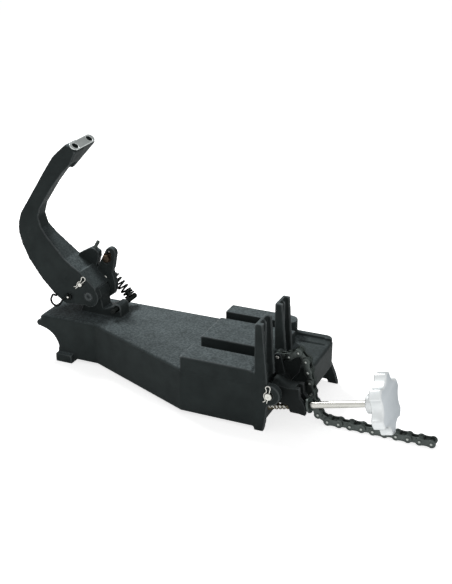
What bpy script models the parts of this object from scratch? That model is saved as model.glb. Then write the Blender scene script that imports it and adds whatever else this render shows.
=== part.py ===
"""Band saw stand: a hollow cast base with a chain vise at its front and a hinged saw arm at its rear.

Metres, +X toward the hand knob, +Y away from the vise's near side, +Z up from the floor. Places are measured
from the front datum, the plane of the uprights' foot, and one root empty carries the datum to its place.
"""
import math

import bmesh
import bpy
from mathutils import Matrix, Vector

# Placing and fits
FRONT_X = 0.1335  # the front datum, so that the whole object is centred on the origin
FIT = 0.0003  # gap between pieces that touch
PIN_PLAY = 0.0004  # radial play of a pin in its bore
OVERLAP = 0.004  # how deep joined solids sink into each other
PAST = 0.02  # how far a cutter reaches past what it cuts
BOSS_PROUD = 0.001  # how far a boss stands out from the face around it
REACH = 0.3  # half the size of a solid that only trims another
EMPTY_SIZE = 0.02  # drawn size of a joint's empty

# Base casting
WALL = 0.008
DECK_Z = 0.084
DECK_CHAMFER = 0.0035
NEAR_Y = -0.104
FAR_Y = 0.105
REAR_X = -0.476
REAR_NEAR_Y = -0.013
TAPER_REAR_X = -0.361
REST_REAR_X = -0.148
REST_FRONT_X = -0.008
REST_Z = 0.107
NEAR_REST_Y = -0.055
MID_REST_Y = (-0.022, 0.062)
NEAR_REST_FRONT_X = -0.024  # where the near rest's top starts to fall toward the upright
NEAR_REST_FALL = 0.0033
NEAR_REST_STRIP = 0.003  # the level strip between that fall and the upright's back
RAIL_X = (-0.144, -0.031)
RAIL_Y = 0.073
RAIL_Z = 0.114
FRONT_WALL_X = -0.006
TRAY_X = 0.050
TRAY_NEAR_Y = -0.0195
TRAY_ROUND = 0.016
TRAY_RIM_Y = 0.092  # the near edge of the rim on the tray's far side
TRAY_RIM_Z = 0.0895
APRON_Z = 0.036
SKIRT_Z = 0.006
GROOVE_Y = (0.0706, 0.0776)
GROOVE_X = (-0.006, 0.039)
GROOVE_DEPTH = 0.0035

# Uprights
UPRIGHT_Z = 0.189
UPRIGHT_BACK_X = -0.0165
UPRIGHT_TOP_X = -0.0036
UPRIGHT_LOW_X = 0.0070
UPRIGHT_WEB = 0.0055
NEAR_UPRIGHT_Y = (NEAR_Y + WALL / 2, -0.062)
FAR_UPRIGHT_Y = (-0.019, 0.019)
FLANGE = 0.006
RIB = 0.004
LEG_FRONT = ((0.0, 0.0), (0.0035, 0.020), (0.0077, 0.066))  # the near leg's front edge, (X, Z)

# Feet and rear end
FOOT_X = (-0.443, -0.410)
FOOT_DEPTH = 0.032
FOOT_OUT = 0.0105
FOOT_Z = 0.016
OVERHANG_Z = 0.059
ARCH_X = -0.480
CATCH_RADIUS = 0.0065
CATCH_Z = 0.066
CATCH_LENGTH = 0.050

# Saw arm pivot
PIVOT = (-0.389, 0.122)
FORK_Y = (0.015, 0.075)
LIMB_Y = (0.028, 0.062)
BARREL_RADIUS = 0.019
BARREL_PLAY = 0.0015
EAR_RADIUS = 0.020
PIVOT_PIN_RADIUS = 0.0075
PIN_PROUD = 0.002
PIN_CHAMFER = 0.001

# Saw arm limb
LIMB_TURN = 37.0  # degrees that the lower limb falls from the bend to the fork
BEND = (-0.500, 0.235)
FLARE_LENGTH = 0.100
CHANNEL_DEPTH = 0.005
CHANNEL_FLANGE = 0.004
LIMB_OUTER = (  # the limb's outer edge from the fork to the pad, (X, Z)
    (-0.437, 0.100), (-0.454, 0.111), (-0.488, 0.139), (-0.517, 0.172), (-0.531, 0.198), (-0.536, 0.220),
    (-0.535, 0.238), (-0.529, 0.257), (-0.514, 0.279), (-0.467, 0.348), (-0.451, 0.370), (-0.434, 0.385),
)
LIMB_INNER = (  # the limb's inner edge from the fork to the pad, (X, Z)
    (-0.3735, 0.139), (-0.405, 0.168), (-0.437, 0.187), (-0.474, 0.221), (-0.487, 0.236), (-0.492, 0.254),
    (-0.486, 0.272), (-0.457, 0.314), (-0.434, 0.342), (-0.417, 0.359),
)
FORK_OUTER_END = 7  # points of the outer edge that belong to the fork's slab
FORK_INNER_END = 6  # points of the inner edge that belong to it
CHANNEL_FIRST_INDEX = 1  # the inner edge's point where the channel starts

# Saw pad
PAD_PLACE = (-0.410, 0.0625, 0.3915)
PAD_TILT = 34.0  # degrees that the pad leans forward
PAD_ROLL = 4.0  # degrees that its far end rises
PAD_LENGTH = 0.068
PAD_WIDTH = 0.0178
PAD_RAISE = 0.003
PAD_HOLE_RADIUS = 0.0061
PAD_HOLE_SPACING = 0.0435
PAD_HOLE_DEPTH = 0.045
WING_TIP_Y = 0.094
WING_ROOT = 0.056  # the wing's depth below the pad's face at the limb
WING_END = 0.008  # and at its tip

# Pieces on the arm
CROSS_PIN_PLACE = (-0.4025, 0.1445)
CROSS_PIN_RADIUS = 0.004
LUG_Y = (0.0625, 0.0735)
LUG_FOOT = ((-0.402, 0.142), (-0.378, 0.128), (-0.361, 0.166), (-0.356, 0.192))  # slotted lug, (X, Z)
LUG_TOP = (-0.3665, 0.193)
LUG_TOP_RADIUS = 0.0105
LUG_BACK = (-0.390, 0.172)
CHEEK_Y = (0.0626, 0.0745)
CHEEK = (  # the far cheek's front, beside the lift spring's top, (X, Z)
    (-0.389, 0.110), (-0.374, 0.106), (-0.364, 0.113), (-0.3595, 0.124), (-0.3595, 0.134), (-0.3625, 0.148),
    (-0.3665, 0.161), (-0.380, 0.160), (-0.392, 0.140),
)
SLOT_MIDDLE = (-0.373, 0.183)
SLOT_LENGTH = 0.026
SLOT_WIDTH = 0.0090
SLOT_LEAN = 20.0  # degrees that the slot leans forward
BOLT_RADIUS = 0.004
BOLT_HEAD_FLATS = 0.013
BOLT_HEAD_HEIGHT = 0.0055
WASHER_RADIUS = 0.0085
WASHER_THICK = 0.0016
ROD_FOOT = (-0.4070, 0.1871)
ROD_TIP = (-0.3931, 0.2099)
ROD_RADIUS = 0.0034
ROD_Y = 0.068
ROD_LUG_HALF = 0.0065
ROD_LUG = (  # the stop rod's lug, (X, Z)
    (-0.434, 0.170), (-0.399, 0.158), (-0.390, 0.183), (-0.3905, 0.1915), (-0.400, 0.1975), (-0.408, 0.1975),
    (-0.432, 0.184),
)
SPRING_PIN_PLACE = (-0.381, 0.143)
SPRING_PIN_RADIUS = 0.004

# R-clips
CLIP_WIRE = 0.0018
CLIP_LEG = 0.0130
CLIP_LOOP = 0.0039
CROSS_CLIP_TURN = 42.0  # degrees that a clip's leg rises toward its loop
LEVER_CLIP_TURN = 78.0

# Lift spring
SPRING_Y = 0.087
BAR_PLACE = (-0.340, 0.101)
BAR_RADIUS = 0.005
BAR_Y = (0.016, 0.099)
LIFT_COIL_RADIUS = 0.0085
LIFT_WIRE = 0.0036
LIFT_TURNS = 6
SEAT_RADIUS = 0.0105
SEAT_THICK = 0.003
SEAT_SPIGOT_RADIUS = 0.0055
SEAT_SPIGOT = 0.007

# Tie hook
HOOK_PIN_PLACE = (-0.4285, 0.1168)
HOOK_PIN_RADIUS = 0.002
HOOK_WIRE = 0.0038
HOOK_Y = 0.0118
HOOK_SHANK = ((-0.0120, -0.0065), (-0.0190, -0.0165))  # the hook's path from its eye, (X, Z)
HOOK_BOW = (-0.0288, -0.0126)
HOOK_BOW_RADIUS = 0.0098
HOOK_TIP = ((-0.0330, -0.0010), (-0.0265, -0.0025))

# Chain vise lever
LEVER_PIN = (0.0095, 0.068)
LEVER_PIN_RADIUS = 0.006
LEVER_PIN_Y = (-0.110, -0.004)
LEVER_EAR_RADIUS = 0.018
LEVER_EAR_Y = -0.092
LEVER_HUB_RADIUS = 0.0125
LEVER_SIDE_PLAY = 0.0006
BLOCK_Y = (-0.084, -0.056)
BLOCK_SLOT = 0.012
BLOCK_NOSE_RADIUS = 0.030
BLOCK_HALF = 0.012  # the block's half height at the pin
BLOCK_LOW = ((0.017, 0.048), (0.033, 0.046), (0.038, 0.034), (0.052, 0.034))  # its underside, (X, Z)
BLOCK_TOP = ((0.052, 0.079), (0.034, 0.0765))  # its upper edge
BLOCK_SLOT_PATH = (  # the screw's slot in side view
    (0.028, 0.026), (0.085, 0.026), (0.085, 0.100), (0.047, 0.100), (0.041, 0.055), (0.028, 0.050),
)
TONGUE_FOOT = 0.006
TONGUE_LOW = (0.036, 0.084)

# Clamp screw
SCREW_Y = -0.070
SCREW_SLOPE = 14.0
SCREW_THROUGH = (0.060, 0.045)
NUT_RADIUS = 0.011
NUT_LENGTH = 0.026
THREAD_RADIUS = 0.004
SHANK_RADIUS = 0.0055
THREAD_TAIL = 0.024
THRUST_WASHER_RADIUS = 0.013
THRUST_WASHER_THICK = 0.004
BLOCK_REACH = 0.0915  # from the nut to the lever block's nose, along the screw
BLOCK_PLAY = 0.0008
SCREW_COIL_RADIUS = 0.0053
SCREW_WIRE = 0.0018
SCREW_TURNS = 7
SPRING_REACH = (0.0215, 0.0585)
KNOB_REACH = 0.2200
KNOB_RADIUS = 0.0495  # to the tips of the lobes
KNOB_NOTCH = 0.0390  # to the bottom of the scallops between them
KNOB_TIP = 0.0170  # the width of a lobe's tip
KNOB_LOBES = 6
KNOB_TURN = 12.0  # degrees that the top lobe leans to the far side
KNOB_THICK = 0.020
KNOB_HUB_RADIUS = 0.0155
KNOB_HUB = 0.0175
KNOB_PIN_RADIUS = 0.002

# Roller chain, 3/4 inch pitch
PITCH = 0.01905
CHAIN_Y = -0.038
PLATE_HALF = 0.0070
PLATE_WAIST = 0.0052
PLATE_THICK = 0.0024
INNER_GAP = 0.0060
CHAIN_PIN_RADIUS = 0.0030
ROLLER_RADIUS = 0.0060
CHAIN_WIDTH = 0.0194
FLOOR_PIN_X = 0.0895  # the first chain pin that lies on the floor
LINK_SLOPES = (10.0, 34.0, -46.0, -77.0, -80.0, -79.0, -74.5, -66.0, -29.0)  # degrees, from the lever down
FLAT_LINKS = 9
NOSE_LINKS = 3  # links that ride on the lever's nose
DROP_END = 8  # links down to the floor, the nose's included
FLOOR_END = 16  # links before the loose end
TONGUE_WIDTH = 0.0050
LUG_RADIUS = 0.0075
LUG_THICK = 0.004

# Smoothness
ROUND_SIDES = 32
PIN_SIDES = 24
SMALL_SIDES = 16
LINK_SIDES = 12
COIL_POINTS = 10
COIL_SIDES = 1


def arc_points(center, radius, start, end, steps):
    """Points on an arc, in degrees, both ends included."""
    points = []
    for step in range(steps + 1):
        angle = math.radians(start + (end - start) * step / steps)
        points.append((center[0] + radius * math.cos(angle), center[1] + radius * math.sin(angle)))
    return points


def circle(center, radius, sides):
    """A closed ring of points."""
    return arc_points(center, radius, 0.0, 360.0 * (sides - 1) / sides, sides - 1)


def box_outline(low, high):
    """The four corners of a rectangle."""
    return [(low[0], low[1]), (high[0], low[1]), (high[0], high[1]), (low[0], high[1])]


def moved_edges(points, distance, closed=True):
    """An outline with every edge moved to its left by a distance; counter-clockwise outlines shrink."""
    count = len(points)
    moved = []
    for index in range(count):
        here = Vector(points[index])
        before = Vector(points[index - 1]) if closed or index > 0 else None
        after = Vector(points[(index + 1) % count]) if closed or index < count - 1 else None
        normals = []
        if before is not None:
            normals.append((here - before).orthogonal().normalized())
        if after is not None:
            normals.append((after - here).orthogonal().normalized())
        middle = sum(normals, Vector((0.0, 0.0))).normalized()
        moved.append(tuple(here + middle * (distance / middle.dot(normals[0]))))
    return moved


def side(low, high):
    """Frame and thickness of a slab whose outline is (X, Z), between two Y."""
    turn = Matrix.Rotation(math.radians(90.0), 4, "X")
    return Matrix.Translation((0.0, (low + high) / 2, 0.0)) @ turn, high - low


def plan(low, high):
    """Frame and thickness of a slab whose outline is (X, Y), between two Z."""
    return Matrix.Translation((0.0, 0.0, (low + high) / 2)), high - low


def new_collection(name):
    """A collection of the scene, emptied if it was there."""
    old = bpy.data.collections.get(name)
    if old is not None:
        bpy.data.collections.remove(old)
    made = bpy.data.collections.new(name)
    bpy.context.scene.collection.children.link(made)
    return made


def finish(name, color, roughness, metallic):
    """A Principled material; the colour is linear red, green and blue."""
    made = bpy.data.materials.new(name)
    made.use_nodes = True
    shader = made.node_tree.nodes["Principled BSDF"]
    shader.inputs["Base Color"].default_value = (*color, 1.0)
    shader.inputs["Roughness"].default_value = roughness
    shader.inputs["Metallic"].default_value = metallic
    return made


class Stand:
    """The collections, the root and the joint empties that every piece hangs on."""

    def __init__(self):
        self.parts = new_collection("band_saw_stand")
        self.cutters = new_collection("cutters")
        self.root = self.empty("stand_root", (FRONT_X, 0.0, 0.0), None)
        self.turns = {}

    def empty(self, name, place, parent):
        """An empty at a place, used as a joint's axis."""
        made = bpy.data.objects.new(name, None)
        made.location = place
        made.parent = parent
        made.empty_display_size = EMPTY_SIZE
        self.parts.objects.link(made)
        return made

    def joint(self, name, place, parent=None):
        """An empty on a joint's axis, at a place measured from the datum."""
        origin = self.turns[parent].place if parent else Vector((0.0, 0.0, 0.0))
        holder = self.empty(name, Vector(place) - origin, self.turns[parent].empty if parent else self.root)
        self.turns[name] = JointAxis(holder, Vector(place))

    def piece(self, name, data, material, joint=None, frame=None):
        """One visible piece, carried by the root or by a joint's empty."""
        made = bpy.data.objects.new(name, data)
        self.parts.objects.link(made)
        made.data.materials.append(material)
        axis = self.turns.get(joint)
        made.parent = axis.empty if axis else self.root
        origin = axis.place if axis else Vector((0.0, 0.0, 0.0))
        made.matrix_basis = Matrix.Translation(-origin) @ (frame if frame else Matrix.Identity(4))
        return made

    def tool(self, name, data, frame=None):
        """A hidden solid that is joined to a piece or cut from it."""
        made = bpy.data.objects.new(name, data)
        self.cutters.objects.link(made)
        made.parent = self.root
        made.matrix_basis = frame if frame else Matrix.Identity(4)
        made.hide_render = True
        made.display_type = "WIRE"
        return made


class JointAxis:
    """A joint's empty and its place from the datum."""

    def __init__(self, empty, place):
        self.empty = empty
        self.place = place


def combine(piece, tool, operation):
    """One exact Boolean step on a piece."""
    step = piece.modifiers.new(tool.name, "BOOLEAN")
    step.object = tool
    step.operation = operation
    step.solver = "EXACT"


def slab(outlines, placing):
    """A mesh of a flat outline with any holes, filled and given its thickness, in its frame."""
    frame, thickness = placing
    curve = bpy.data.curves.new("outline", "CURVE")
    curve.dimensions = "2D"
    curve.fill_mode = "BOTH"
    curve.extrude = thickness / 2
    for outline in outlines:
        spline = curve.splines.new("POLY")
        spline.points.add(len(outline) - 1)
        spline.use_cyclic_u = True
        for point, place in zip(spline.points, outline):
            point.co = (place[0], place[1], 0.0, 1.0)
    holder = bpy.data.objects.new("outline", curve)
    mesh = bpy.data.meshes.new_from_object(holder)
    bpy.data.objects.remove(holder)
    bpy.data.curves.remove(curve)
    shape = bmesh.new()
    shape.from_mesh(mesh)
    bmesh.ops.remove_doubles(shape, verts=shape.verts, dist=1e-6)
    bmesh.ops.transform(shape, matrix=frame, verts=shape.verts)
    shape.to_mesh(mesh)
    shape.free()
    return mesh


def rod(start, end, radius, sides=ROUND_SIDES):
    """A mesh of a plain cylinder between two points."""
    along = Vector(end) - Vector(start)
    turn = along.to_track_quat("Z", "Y").to_matrix().to_4x4()
    frame = Matrix.Translation((Vector(start) + Vector(end)) / 2) @ turn
    shape = bmesh.new()
    bmesh.ops.create_cone(shape, cap_ends=True, segments=sides, radius1=radius, radius2=radius,
                          depth=along.length, matrix=frame)
    mesh = bpy.data.meshes.new("rod")
    shape.to_mesh(mesh)
    shape.free()
    return mesh


def cross_rod(place, reach, radius, sides=ROUND_SIDES):
    """A cylinder along Y at an (X, Z) place."""
    return rod((place[0], reach[0], place[1]), (place[0], reach[1], place[1]), radius, sides)


def box(low, high):
    """A mesh of a plain box between two corners."""
    frame, thickness = plan(low[2], high[2])
    return slab([box_outline(low, high)], (frame, thickness))


def chamfered_prism(outline, low, high, chamfer):
    """A mesh of an upright prism whose upper edge is chamfered."""
    shape = bmesh.new()
    rings = []
    for ring, height in ((outline, low), (outline, high - chamfer), (moved_edges(outline, chamfer), high)):
        rings.append([shape.verts.new((x, y, height)) for x, y in ring])
    for lower, upper in zip(rings, rings[1:]):
        for index in range(len(outline)):
            after = (index + 1) % len(outline)
            shape.faces.new((lower[index], lower[after], upper[after], upper[index]))
    shape.faces.new(rings[0][::-1])
    shape.faces.new(rings[-1])
    mesh = bpy.data.meshes.new("prism")
    shape.to_mesh(mesh)
    shape.free()
    return mesh


def profile_mesh(profile):
    """A turned piece's half section, (radius, height); closed unless its ends are on the axis."""
    shape = bmesh.new()
    verts = [shape.verts.new((radius, 0.0, height)) for radius, height in profile]
    for first, second in zip(verts, verts[1:]):
        shape.edges.new((first, second))
    if profile[0][0] > 0.0:
        shape.edges.new((verts[-1], verts[0]))
    mesh = bpy.data.meshes.new("profile")
    shape.to_mesh(mesh)
    shape.free()
    return mesh


def spin(piece, steps=ROUND_SIDES):
    """Turns a half section about its Z axis."""
    turn = piece.modifiers.new("turn", "SCREW")
    turn.axis = "Z"
    turn.angle = math.radians(360.0)
    turn.steps = steps
    turn.render_steps = steps
    turn.use_merge_vertices = True
    turn.merge_threshold = 1e-5
    turn.use_normal_flip = True


def wire(points, radius, resolution=2):
    """A curve object's data: a round wire with closed ends through points."""
    curve = bpy.data.curves.new("wire", "CURVE")
    curve.dimensions = "3D"
    curve.bevel_depth = radius
    curve.bevel_resolution = resolution
    curve.use_fill_caps = True
    curve.render_resolution_u = 0
    spline = curve.splines.new("POLY")
    spline.points.add(len(points) - 1)
    for point, place in zip(spline.points, points):
        point.co = (*place, 1.0)
    return curve


def coil_points(radius, low, high, turns):
    """A compression coil about Z with an even pitch."""
    count = turns * COIL_POINTS
    points = []
    for index in range(count + 1):
        angle = 2.0 * math.pi * index / COIL_POINTS
        lift = low + (high - low) * index / count
        points.append(Vector((radius * math.cos(angle), radius * math.sin(angle), lift)))
    return points


def least_gap(points, wire_size):
    """The least distance between a coil's wire and itself, neighbours along the wire left out."""
    least = math.inf
    apart = COIL_POINTS // 2
    for index, point in enumerate(points):
        for other in points[index + apart:]:
            least = min(least, (other - point).length)
    return least - wire_size


def tilted(place, slope):
    """A frame at a place whose Z axis lies in the XZ plane, at a slope above +X in degrees."""
    return Matrix.Translation(place) @ Matrix.Rotation(math.radians(90.0 - slope), 4, "Y")


def baked(piece):
    """The mesh of a piece with its modifiers worked out."""
    bpy.context.view_layer.update()
    graph = bpy.context.evaluated_depsgraph_get()
    return bpy.data.meshes.new_from_object(piece.evaluated_get(graph))


# Base casting

def base_plan():
    """The casting's outer plan, counter-clockwise from the near front corner."""
    corner = (TRAY_X - TRAY_ROUND, FAR_Y - TRAY_ROUND)
    return [
        (FRONT_WALL_X, NEAR_Y), (FRONT_WALL_X, TRAY_NEAR_Y), (TRAY_X, TRAY_NEAR_Y),
        *arc_points(corner, TRAY_ROUND, 0.0, 90.0, 5),
        (REAR_X, FAR_Y), (REAR_X, REAR_NEAR_Y), (TAPER_REAR_X, REAR_NEAR_Y), (REST_REAR_X, NEAR_Y),
    ]


def base_rests():
    """The raised work rests, the far rail and the tray's rim, on the deck."""
    low = DECK_Z - OVERLAP
    rail_round = (FAR_Y - RAIL_Y) / 2
    rail = [
        (RAIL_X[0], RAIL_Y), (RAIL_X[1], RAIL_Y),
        *arc_points((RAIL_X[1], RAIL_Y + rail_round), rail_round, -60.0, 60.0, 6),
        (RAIL_X[1], FAR_Y), (RAIL_X[0], FAR_Y),
    ]
    near_rest = [
        (REST_REAR_X, low), (REST_FRONT_X, low), (REST_FRONT_X, REST_Z - NEAR_REST_FALL),
        (UPRIGHT_BACK_X - NEAR_REST_STRIP, REST_Z - NEAR_REST_FALL), (NEAR_REST_FRONT_X, REST_Z),
        (REST_REAR_X, REST_Z),
    ]
    corner = (TRAY_X - TRAY_ROUND, FAR_Y - TRAY_ROUND)
    rim_start = RAIL_X[1] - OVERLAP
    tray_rim = [
        (rim_start, TRAY_RIM_Y), *arc_points(corner, TRAY_RIM_Y - corner[1], 90.0, 15.0, 4),
        *arc_points(corner, TRAY_ROUND - BOSS_PROUD, 7.0, 83.0, 4), (rim_start, FAR_Y - BOSS_PROUD),
    ]
    return {
        "near_rest": slab([near_rest], side(NEAR_Y + FIT, NEAR_REST_Y)),
        "mid_rest": box((REST_REAR_X, MID_REST_Y[0], low), (REST_FRONT_X, MID_REST_Y[1], REST_Z)),
        "far_rail": slab([rail], plan(low, RAIL_Z)),
        "tray_rim": slab([tray_rim], plan(low, TRAY_RIM_Z)),
    }


def upright_outline(foot_z, foot_x):
    """A flange's side view, from its foot to the top."""
    return [
        (UPRIGHT_BACK_X, foot_z), (foot_x, foot_z),
        (UPRIGHT_TOP_X, UPRIGHT_Z), (UPRIGHT_BACK_X, UPRIGHT_Z),
    ]


def base_uprights():
    """Two U-section uprights with a rib each; the near one reaches the floor and carries the lever's ear."""
    low = DECK_Z - OVERLAP
    solids = {}
    for label, reach in (("near", NEAR_UPRIGHT_Y), ("far", FAR_UPRIGHT_Y)):
        middle = (reach[0] + reach[1]) / 2
        web = upright_outline(low, UPRIGHT_BACK_X + UPRIGHT_WEB)
        web[2] = (UPRIGHT_BACK_X + UPRIGHT_WEB, UPRIGHT_Z)
        rib = upright_outline(low, UPRIGHT_BACK_X + 2 * UPRIGHT_WEB)
        rib[2] = (UPRIGHT_TOP_X - RIB / 2, UPRIGHT_Z - RIB)
        solids[label + "_web"] = slab([web], side(*reach))
        solids[label + "_rib"] = slab([rib], side(middle - RIB / 2, middle + RIB / 2))
        solids[label + "_far_flange"] = slab([upright_outline(low + WALL, UPRIGHT_LOW_X - FLANGE / 2)],
                                             side(reach[1] - FLANGE, reach[1]))
    solids["far_near_flange"] = slab([upright_outline(low, UPRIGHT_LOW_X)],
                                     side(FAR_UPRIGHT_Y[0], FAR_UPRIGHT_Y[0] + FLANGE))
    leg = [(UPRIGHT_BACK_X, 0.0), *LEG_FRONT, (UPRIGHT_TOP_X, UPRIGHT_Z), (UPRIGHT_BACK_X, UPRIGHT_Z)]
    solids["near_leg"] = slab([leg], side(NEAR_Y - BOSS_PROUD / 2, NEAR_Y + WALL))
    solids["lever_ear"] = cross_rod(LEVER_PIN, (NEAR_Y - BOSS_PROUD, LEVER_EAR_Y), LEVER_EAR_RADIUS)
    return solids


def base_feet():
    """Rear foot blocks outside the walls, the far front foot and the bar that the tie hook catches."""
    solids = {}
    near = REAR_NEAR_Y - FOOT_OUT
    far = FAR_Y + FOOT_OUT
    for label, low in (("near", near), ("far", far - FOOT_DEPTH)):
        solids[label + "_rear_foot"] = box((FOOT_X[0], low, 0.0), (FOOT_X[1], low + FOOT_DEPTH, FOOT_Z))
    toe = [
        (TRAY_X - TRAY_ROUND / 2, 0.0), (TRAY_X + FOOT_OUT, 0.0), (TRAY_X + FOOT_OUT / 2, APRON_Z / 2),
        (TRAY_X - OVERLAP, APRON_Z + OVERLAP), (TRAY_X - TRAY_ROUND, APRON_Z + OVERLAP),
    ]
    solids["far_front_foot"] = slab([toe], side(FAR_Y - WALL, FAR_Y))
    solids["catch_bar"] = cross_rod((REAR_X - CATCH_RADIUS / 2, CATCH_Z),
                                    (REAR_NEAR_Y, REAR_NEAR_Y + CATCH_LENGTH), CATCH_RADIUS, SMALL_SIDES)
    return solids


def base_pedestal():
    """The pedestal between the fork's cheeks, its barrel and the toe that holds the spring bar."""
    low = DECK_Z - OVERLAP
    reach = (LIMB_Y[0] + PIN_PLAY, LIMB_Y[1] - PIN_PLAY)
    toe_radius = BAR_RADIUS * 1.7
    block = [
        (PIVOT[0] - BARREL_RADIUS * 1.4, low), (BAR_PLACE[0] + toe_radius, low),
        *arc_points(BAR_PLACE, toe_radius, 0.0, 150.0, 8),
        (PIVOT[0] + BARREL_RADIUS * 1.1, BAR_PLACE[1] - BAR_RADIUS),
        (PIVOT[0] + BARREL_RADIUS * 0.9, PIVOT[1]), (PIVOT[0] - BARREL_RADIUS * 0.9, PIVOT[1]),
    ]
    pedestal = side(reach[0] + BOSS_PROUD, reach[1] - BOSS_PROUD)
    return {"pedestal": slab([block], pedestal), "barrel": cross_rod(PIVOT, reach, BARREL_RADIUS)}


def base_cuts():
    """Openings of the casting: the rear arch, the apron, the bores and the tray's groove."""
    rear_arch = [
        (REAR_X - PAST, -PAST), (FOOT_X[0], -PAST), (FOOT_X[0], FOOT_Z + OVERLAP),
        *arc_points((ARCH_X, FOOT_Z + OVERLAP), OVERHANG_Z - FOOT_Z - OVERLAP, 10.0, 90.0, 8),
        (REAR_X - PAST, OVERHANG_Z),
    ]
    everywhere = (NEAR_Y - PAST, FAR_Y + PAST)
    screw = tilted((0.0, SCREW_Y, SCREW_THROUGH[1]), SCREW_SLOPE)
    start = Vector((FRONT_WALL_X, SCREW_Y, screw_height(FRONT_WALL_X)))
    along = screw.col[2].to_3d()
    groove = (GROOVE_Y[1] - GROOVE_Y[0]) / 2
    groove_middle = (GROOVE_Y[0] + GROOVE_Y[1]) / 2
    groove_outline = [
        (GROOVE_X[0], GROOVE_Y[0]), (GROOVE_X[1], GROOVE_Y[0]),
        *arc_points((GROOVE_X[1], groove_middle), groove, -60.0, 60.0, 4),
        (GROOVE_X[1], GROOVE_Y[1]), (GROOVE_X[0], GROOVE_Y[1]),
    ]
    return {
        "rear_arch": slab([rear_arch], side(*everywhere)),
        "apron_gap": box((FRONT_WALL_X + FIT, TRAY_NEAR_Y - PAST, -PAST),
                         (TRAY_X + PAST, FAR_Y - WALL, APRON_Z)),
        "pivot_bore": cross_rod(PIVOT, FORK_Y, PIVOT_PIN_RADIUS + PIN_PLAY),
        "bar_bore": cross_rod(BAR_PLACE, BAR_Y, BAR_RADIUS + FIT),
        "lever_bore": cross_rod(LEVER_PIN, (NEAR_Y - PAST, LEVER_PIN_Y[1] + WALL),
                                LEVER_PIN_RADIUS + PIN_PLAY),
        "screw_hole": rod(start - along * PAST, start + along * PAST, THREAD_RADIUS * 1.9),
        "groove": slab([groove_outline], plan(DECK_Z - GROOVE_DEPTH, DECK_Z + PAST)),
    }


def build_base(stand, material):
    """The hollow base: one casting, open below."""
    base = stand.piece("base_casting", chamfered_prism(base_plan(), SKIRT_Z, DECK_Z, DECK_CHAMFER), material)
    hollow = slab([moved_edges(base_plan(), WALL)], plan(-PAST, DECK_Z - WALL))
    combine(base, stand.tool("base_hollow", hollow), "DIFFERENCE")
    for group in (base_rests(), base_uprights(), base_feet(), base_pedestal()):
        for label, mesh in group.items():
            combine(base, stand.tool("base_" + label, mesh), "UNION")
    for label, mesh in base_cuts().items():
        combine(base, stand.tool("base_" + label, mesh), "DIFFERENCE")


# Saw arm

def barrel_gap(radius):
    """The space that the fork keeps clear around the barrel, open below."""
    return [
        *arc_points(PIVOT, radius, -20.0, 195.0, 24),
        (PIVOT[0] - radius * 1.6, DECK_Z), (PIVOT[0] + radius, DECK_Z),
    ]


def fork_outline():
    """The fork and the lower limb in side view."""
    ear = arc_points(PIVOT, EAR_RADIUS, -115.0, 40.0, 14)
    return [*ear, *LIMB_INNER[:FORK_INNER_END], *reversed(LIMB_OUTER[:FORK_OUTER_END])]


def limb_outline():
    """The limb's middle part in side view, a little longer than to the pad, where it is cut off later."""
    pad = pad_frame()
    back = pad @ Vector((-PAD_WIDTH / 2, 0.0, 2 * PAD_RAISE))
    front = pad @ Vector((PAD_WIDTH / 2, 0.0, 2 * PAD_RAISE))
    return [*LIMB_INNER, (front.x, front.z), (back.x, back.z), *reversed(LIMB_OUTER)]


def flare_frame():
    """Frame and thickness of a slab along the lower limb: along it, across it in Y, and out of its face."""
    turn = Matrix.Rotation(math.radians(LIMB_TURN), 4, "Y")
    return Matrix.Translation((BEND[0], 0.0, BEND[1])) @ turn, 2 * REACH


def pad_frame():
    """The saw pad's frame: across the pad, along it, and out of its face."""
    tilt = Matrix.Rotation(math.radians(PAD_TILT), 4, "Y")
    return Matrix.Translation(PAD_PLACE) @ tilt @ Matrix.Rotation(math.radians(PAD_ROLL), 4, "X")


def obround(length, width, steps=8):
    """A slot shape along its second axis."""
    half = (length - width) / 2
    return [
        *arc_points((0.0, half), width / 2, 0.0, 180.0, steps),
        *arc_points((0.0, -half), width / 2, 180.0, 360.0, steps),
    ]


def build_arm(stand, material):
    """The saw arm: fork, flared lower limb with a channel, upper limb and the wing that carries the pad."""
    arm = stand.piece("saw_arm", slab([fork_outline()], side(*FORK_Y)), material, "arm_hinge")
    flare = [
        (-REACH, LIMB_Y[0]), (0.0, LIMB_Y[0]), (FLARE_LENGTH, FORK_Y[0]), (REACH, FORK_Y[0]),
        (REACH, FORK_Y[1]), (FLARE_LENGTH, FORK_Y[1]), (0.0, LIMB_Y[1]), (-REACH, LIMB_Y[1]),
    ]
    combine(arm, stand.tool("arm_flare", slab([flare], flare_frame())), "INTERSECT")
    combine(arm, stand.tool("arm_limb", slab([limb_outline()], side(*LIMB_Y))), "UNION")
    channel = stand.tool("arm_channel", channel_mesh())
    combine(channel, stand.tool("channel_flange", slab([channel_plan()], flare_frame())), "INTERSECT")
    combine(arm, channel, "DIFFERENCE")
    wing = stand.tool("arm_wing", wing_mesh())
    profile = slab([moved_edges(limb_outline(), FIT)], side(LIMB_Y[0], FAR_Y + PAST))
    combine(wing, stand.tool("wing_profile", profile), "INTERSECT")
    combine(arm, wing, "UNION")
    pad = pad_frame()
    above = box((-REACH / 4, -REACH / 2, -PAD_RAISE), (REACH / 4, REACH / 2, PAST))
    combine(arm, stand.tool("pad_trim", above, pad), "DIFFERENCE")
    raised = pad @ Matrix.Translation((0.0, 0.0, -PAD_RAISE))
    face = slab([obround(PAD_LENGTH, PAD_WIDTH - FIT)], (raised, 2 * PAD_RAISE))
    combine(arm, stand.tool("arm_pad", face), "UNION")
    for label, mesh in arm_lugs().items():
        combine(arm, stand.tool("arm_" + label, mesh), "UNION")
    for label, mesh in arm_cuts().items():
        combine(arm, stand.tool("arm_" + label, mesh), "DIFFERENCE")


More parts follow.
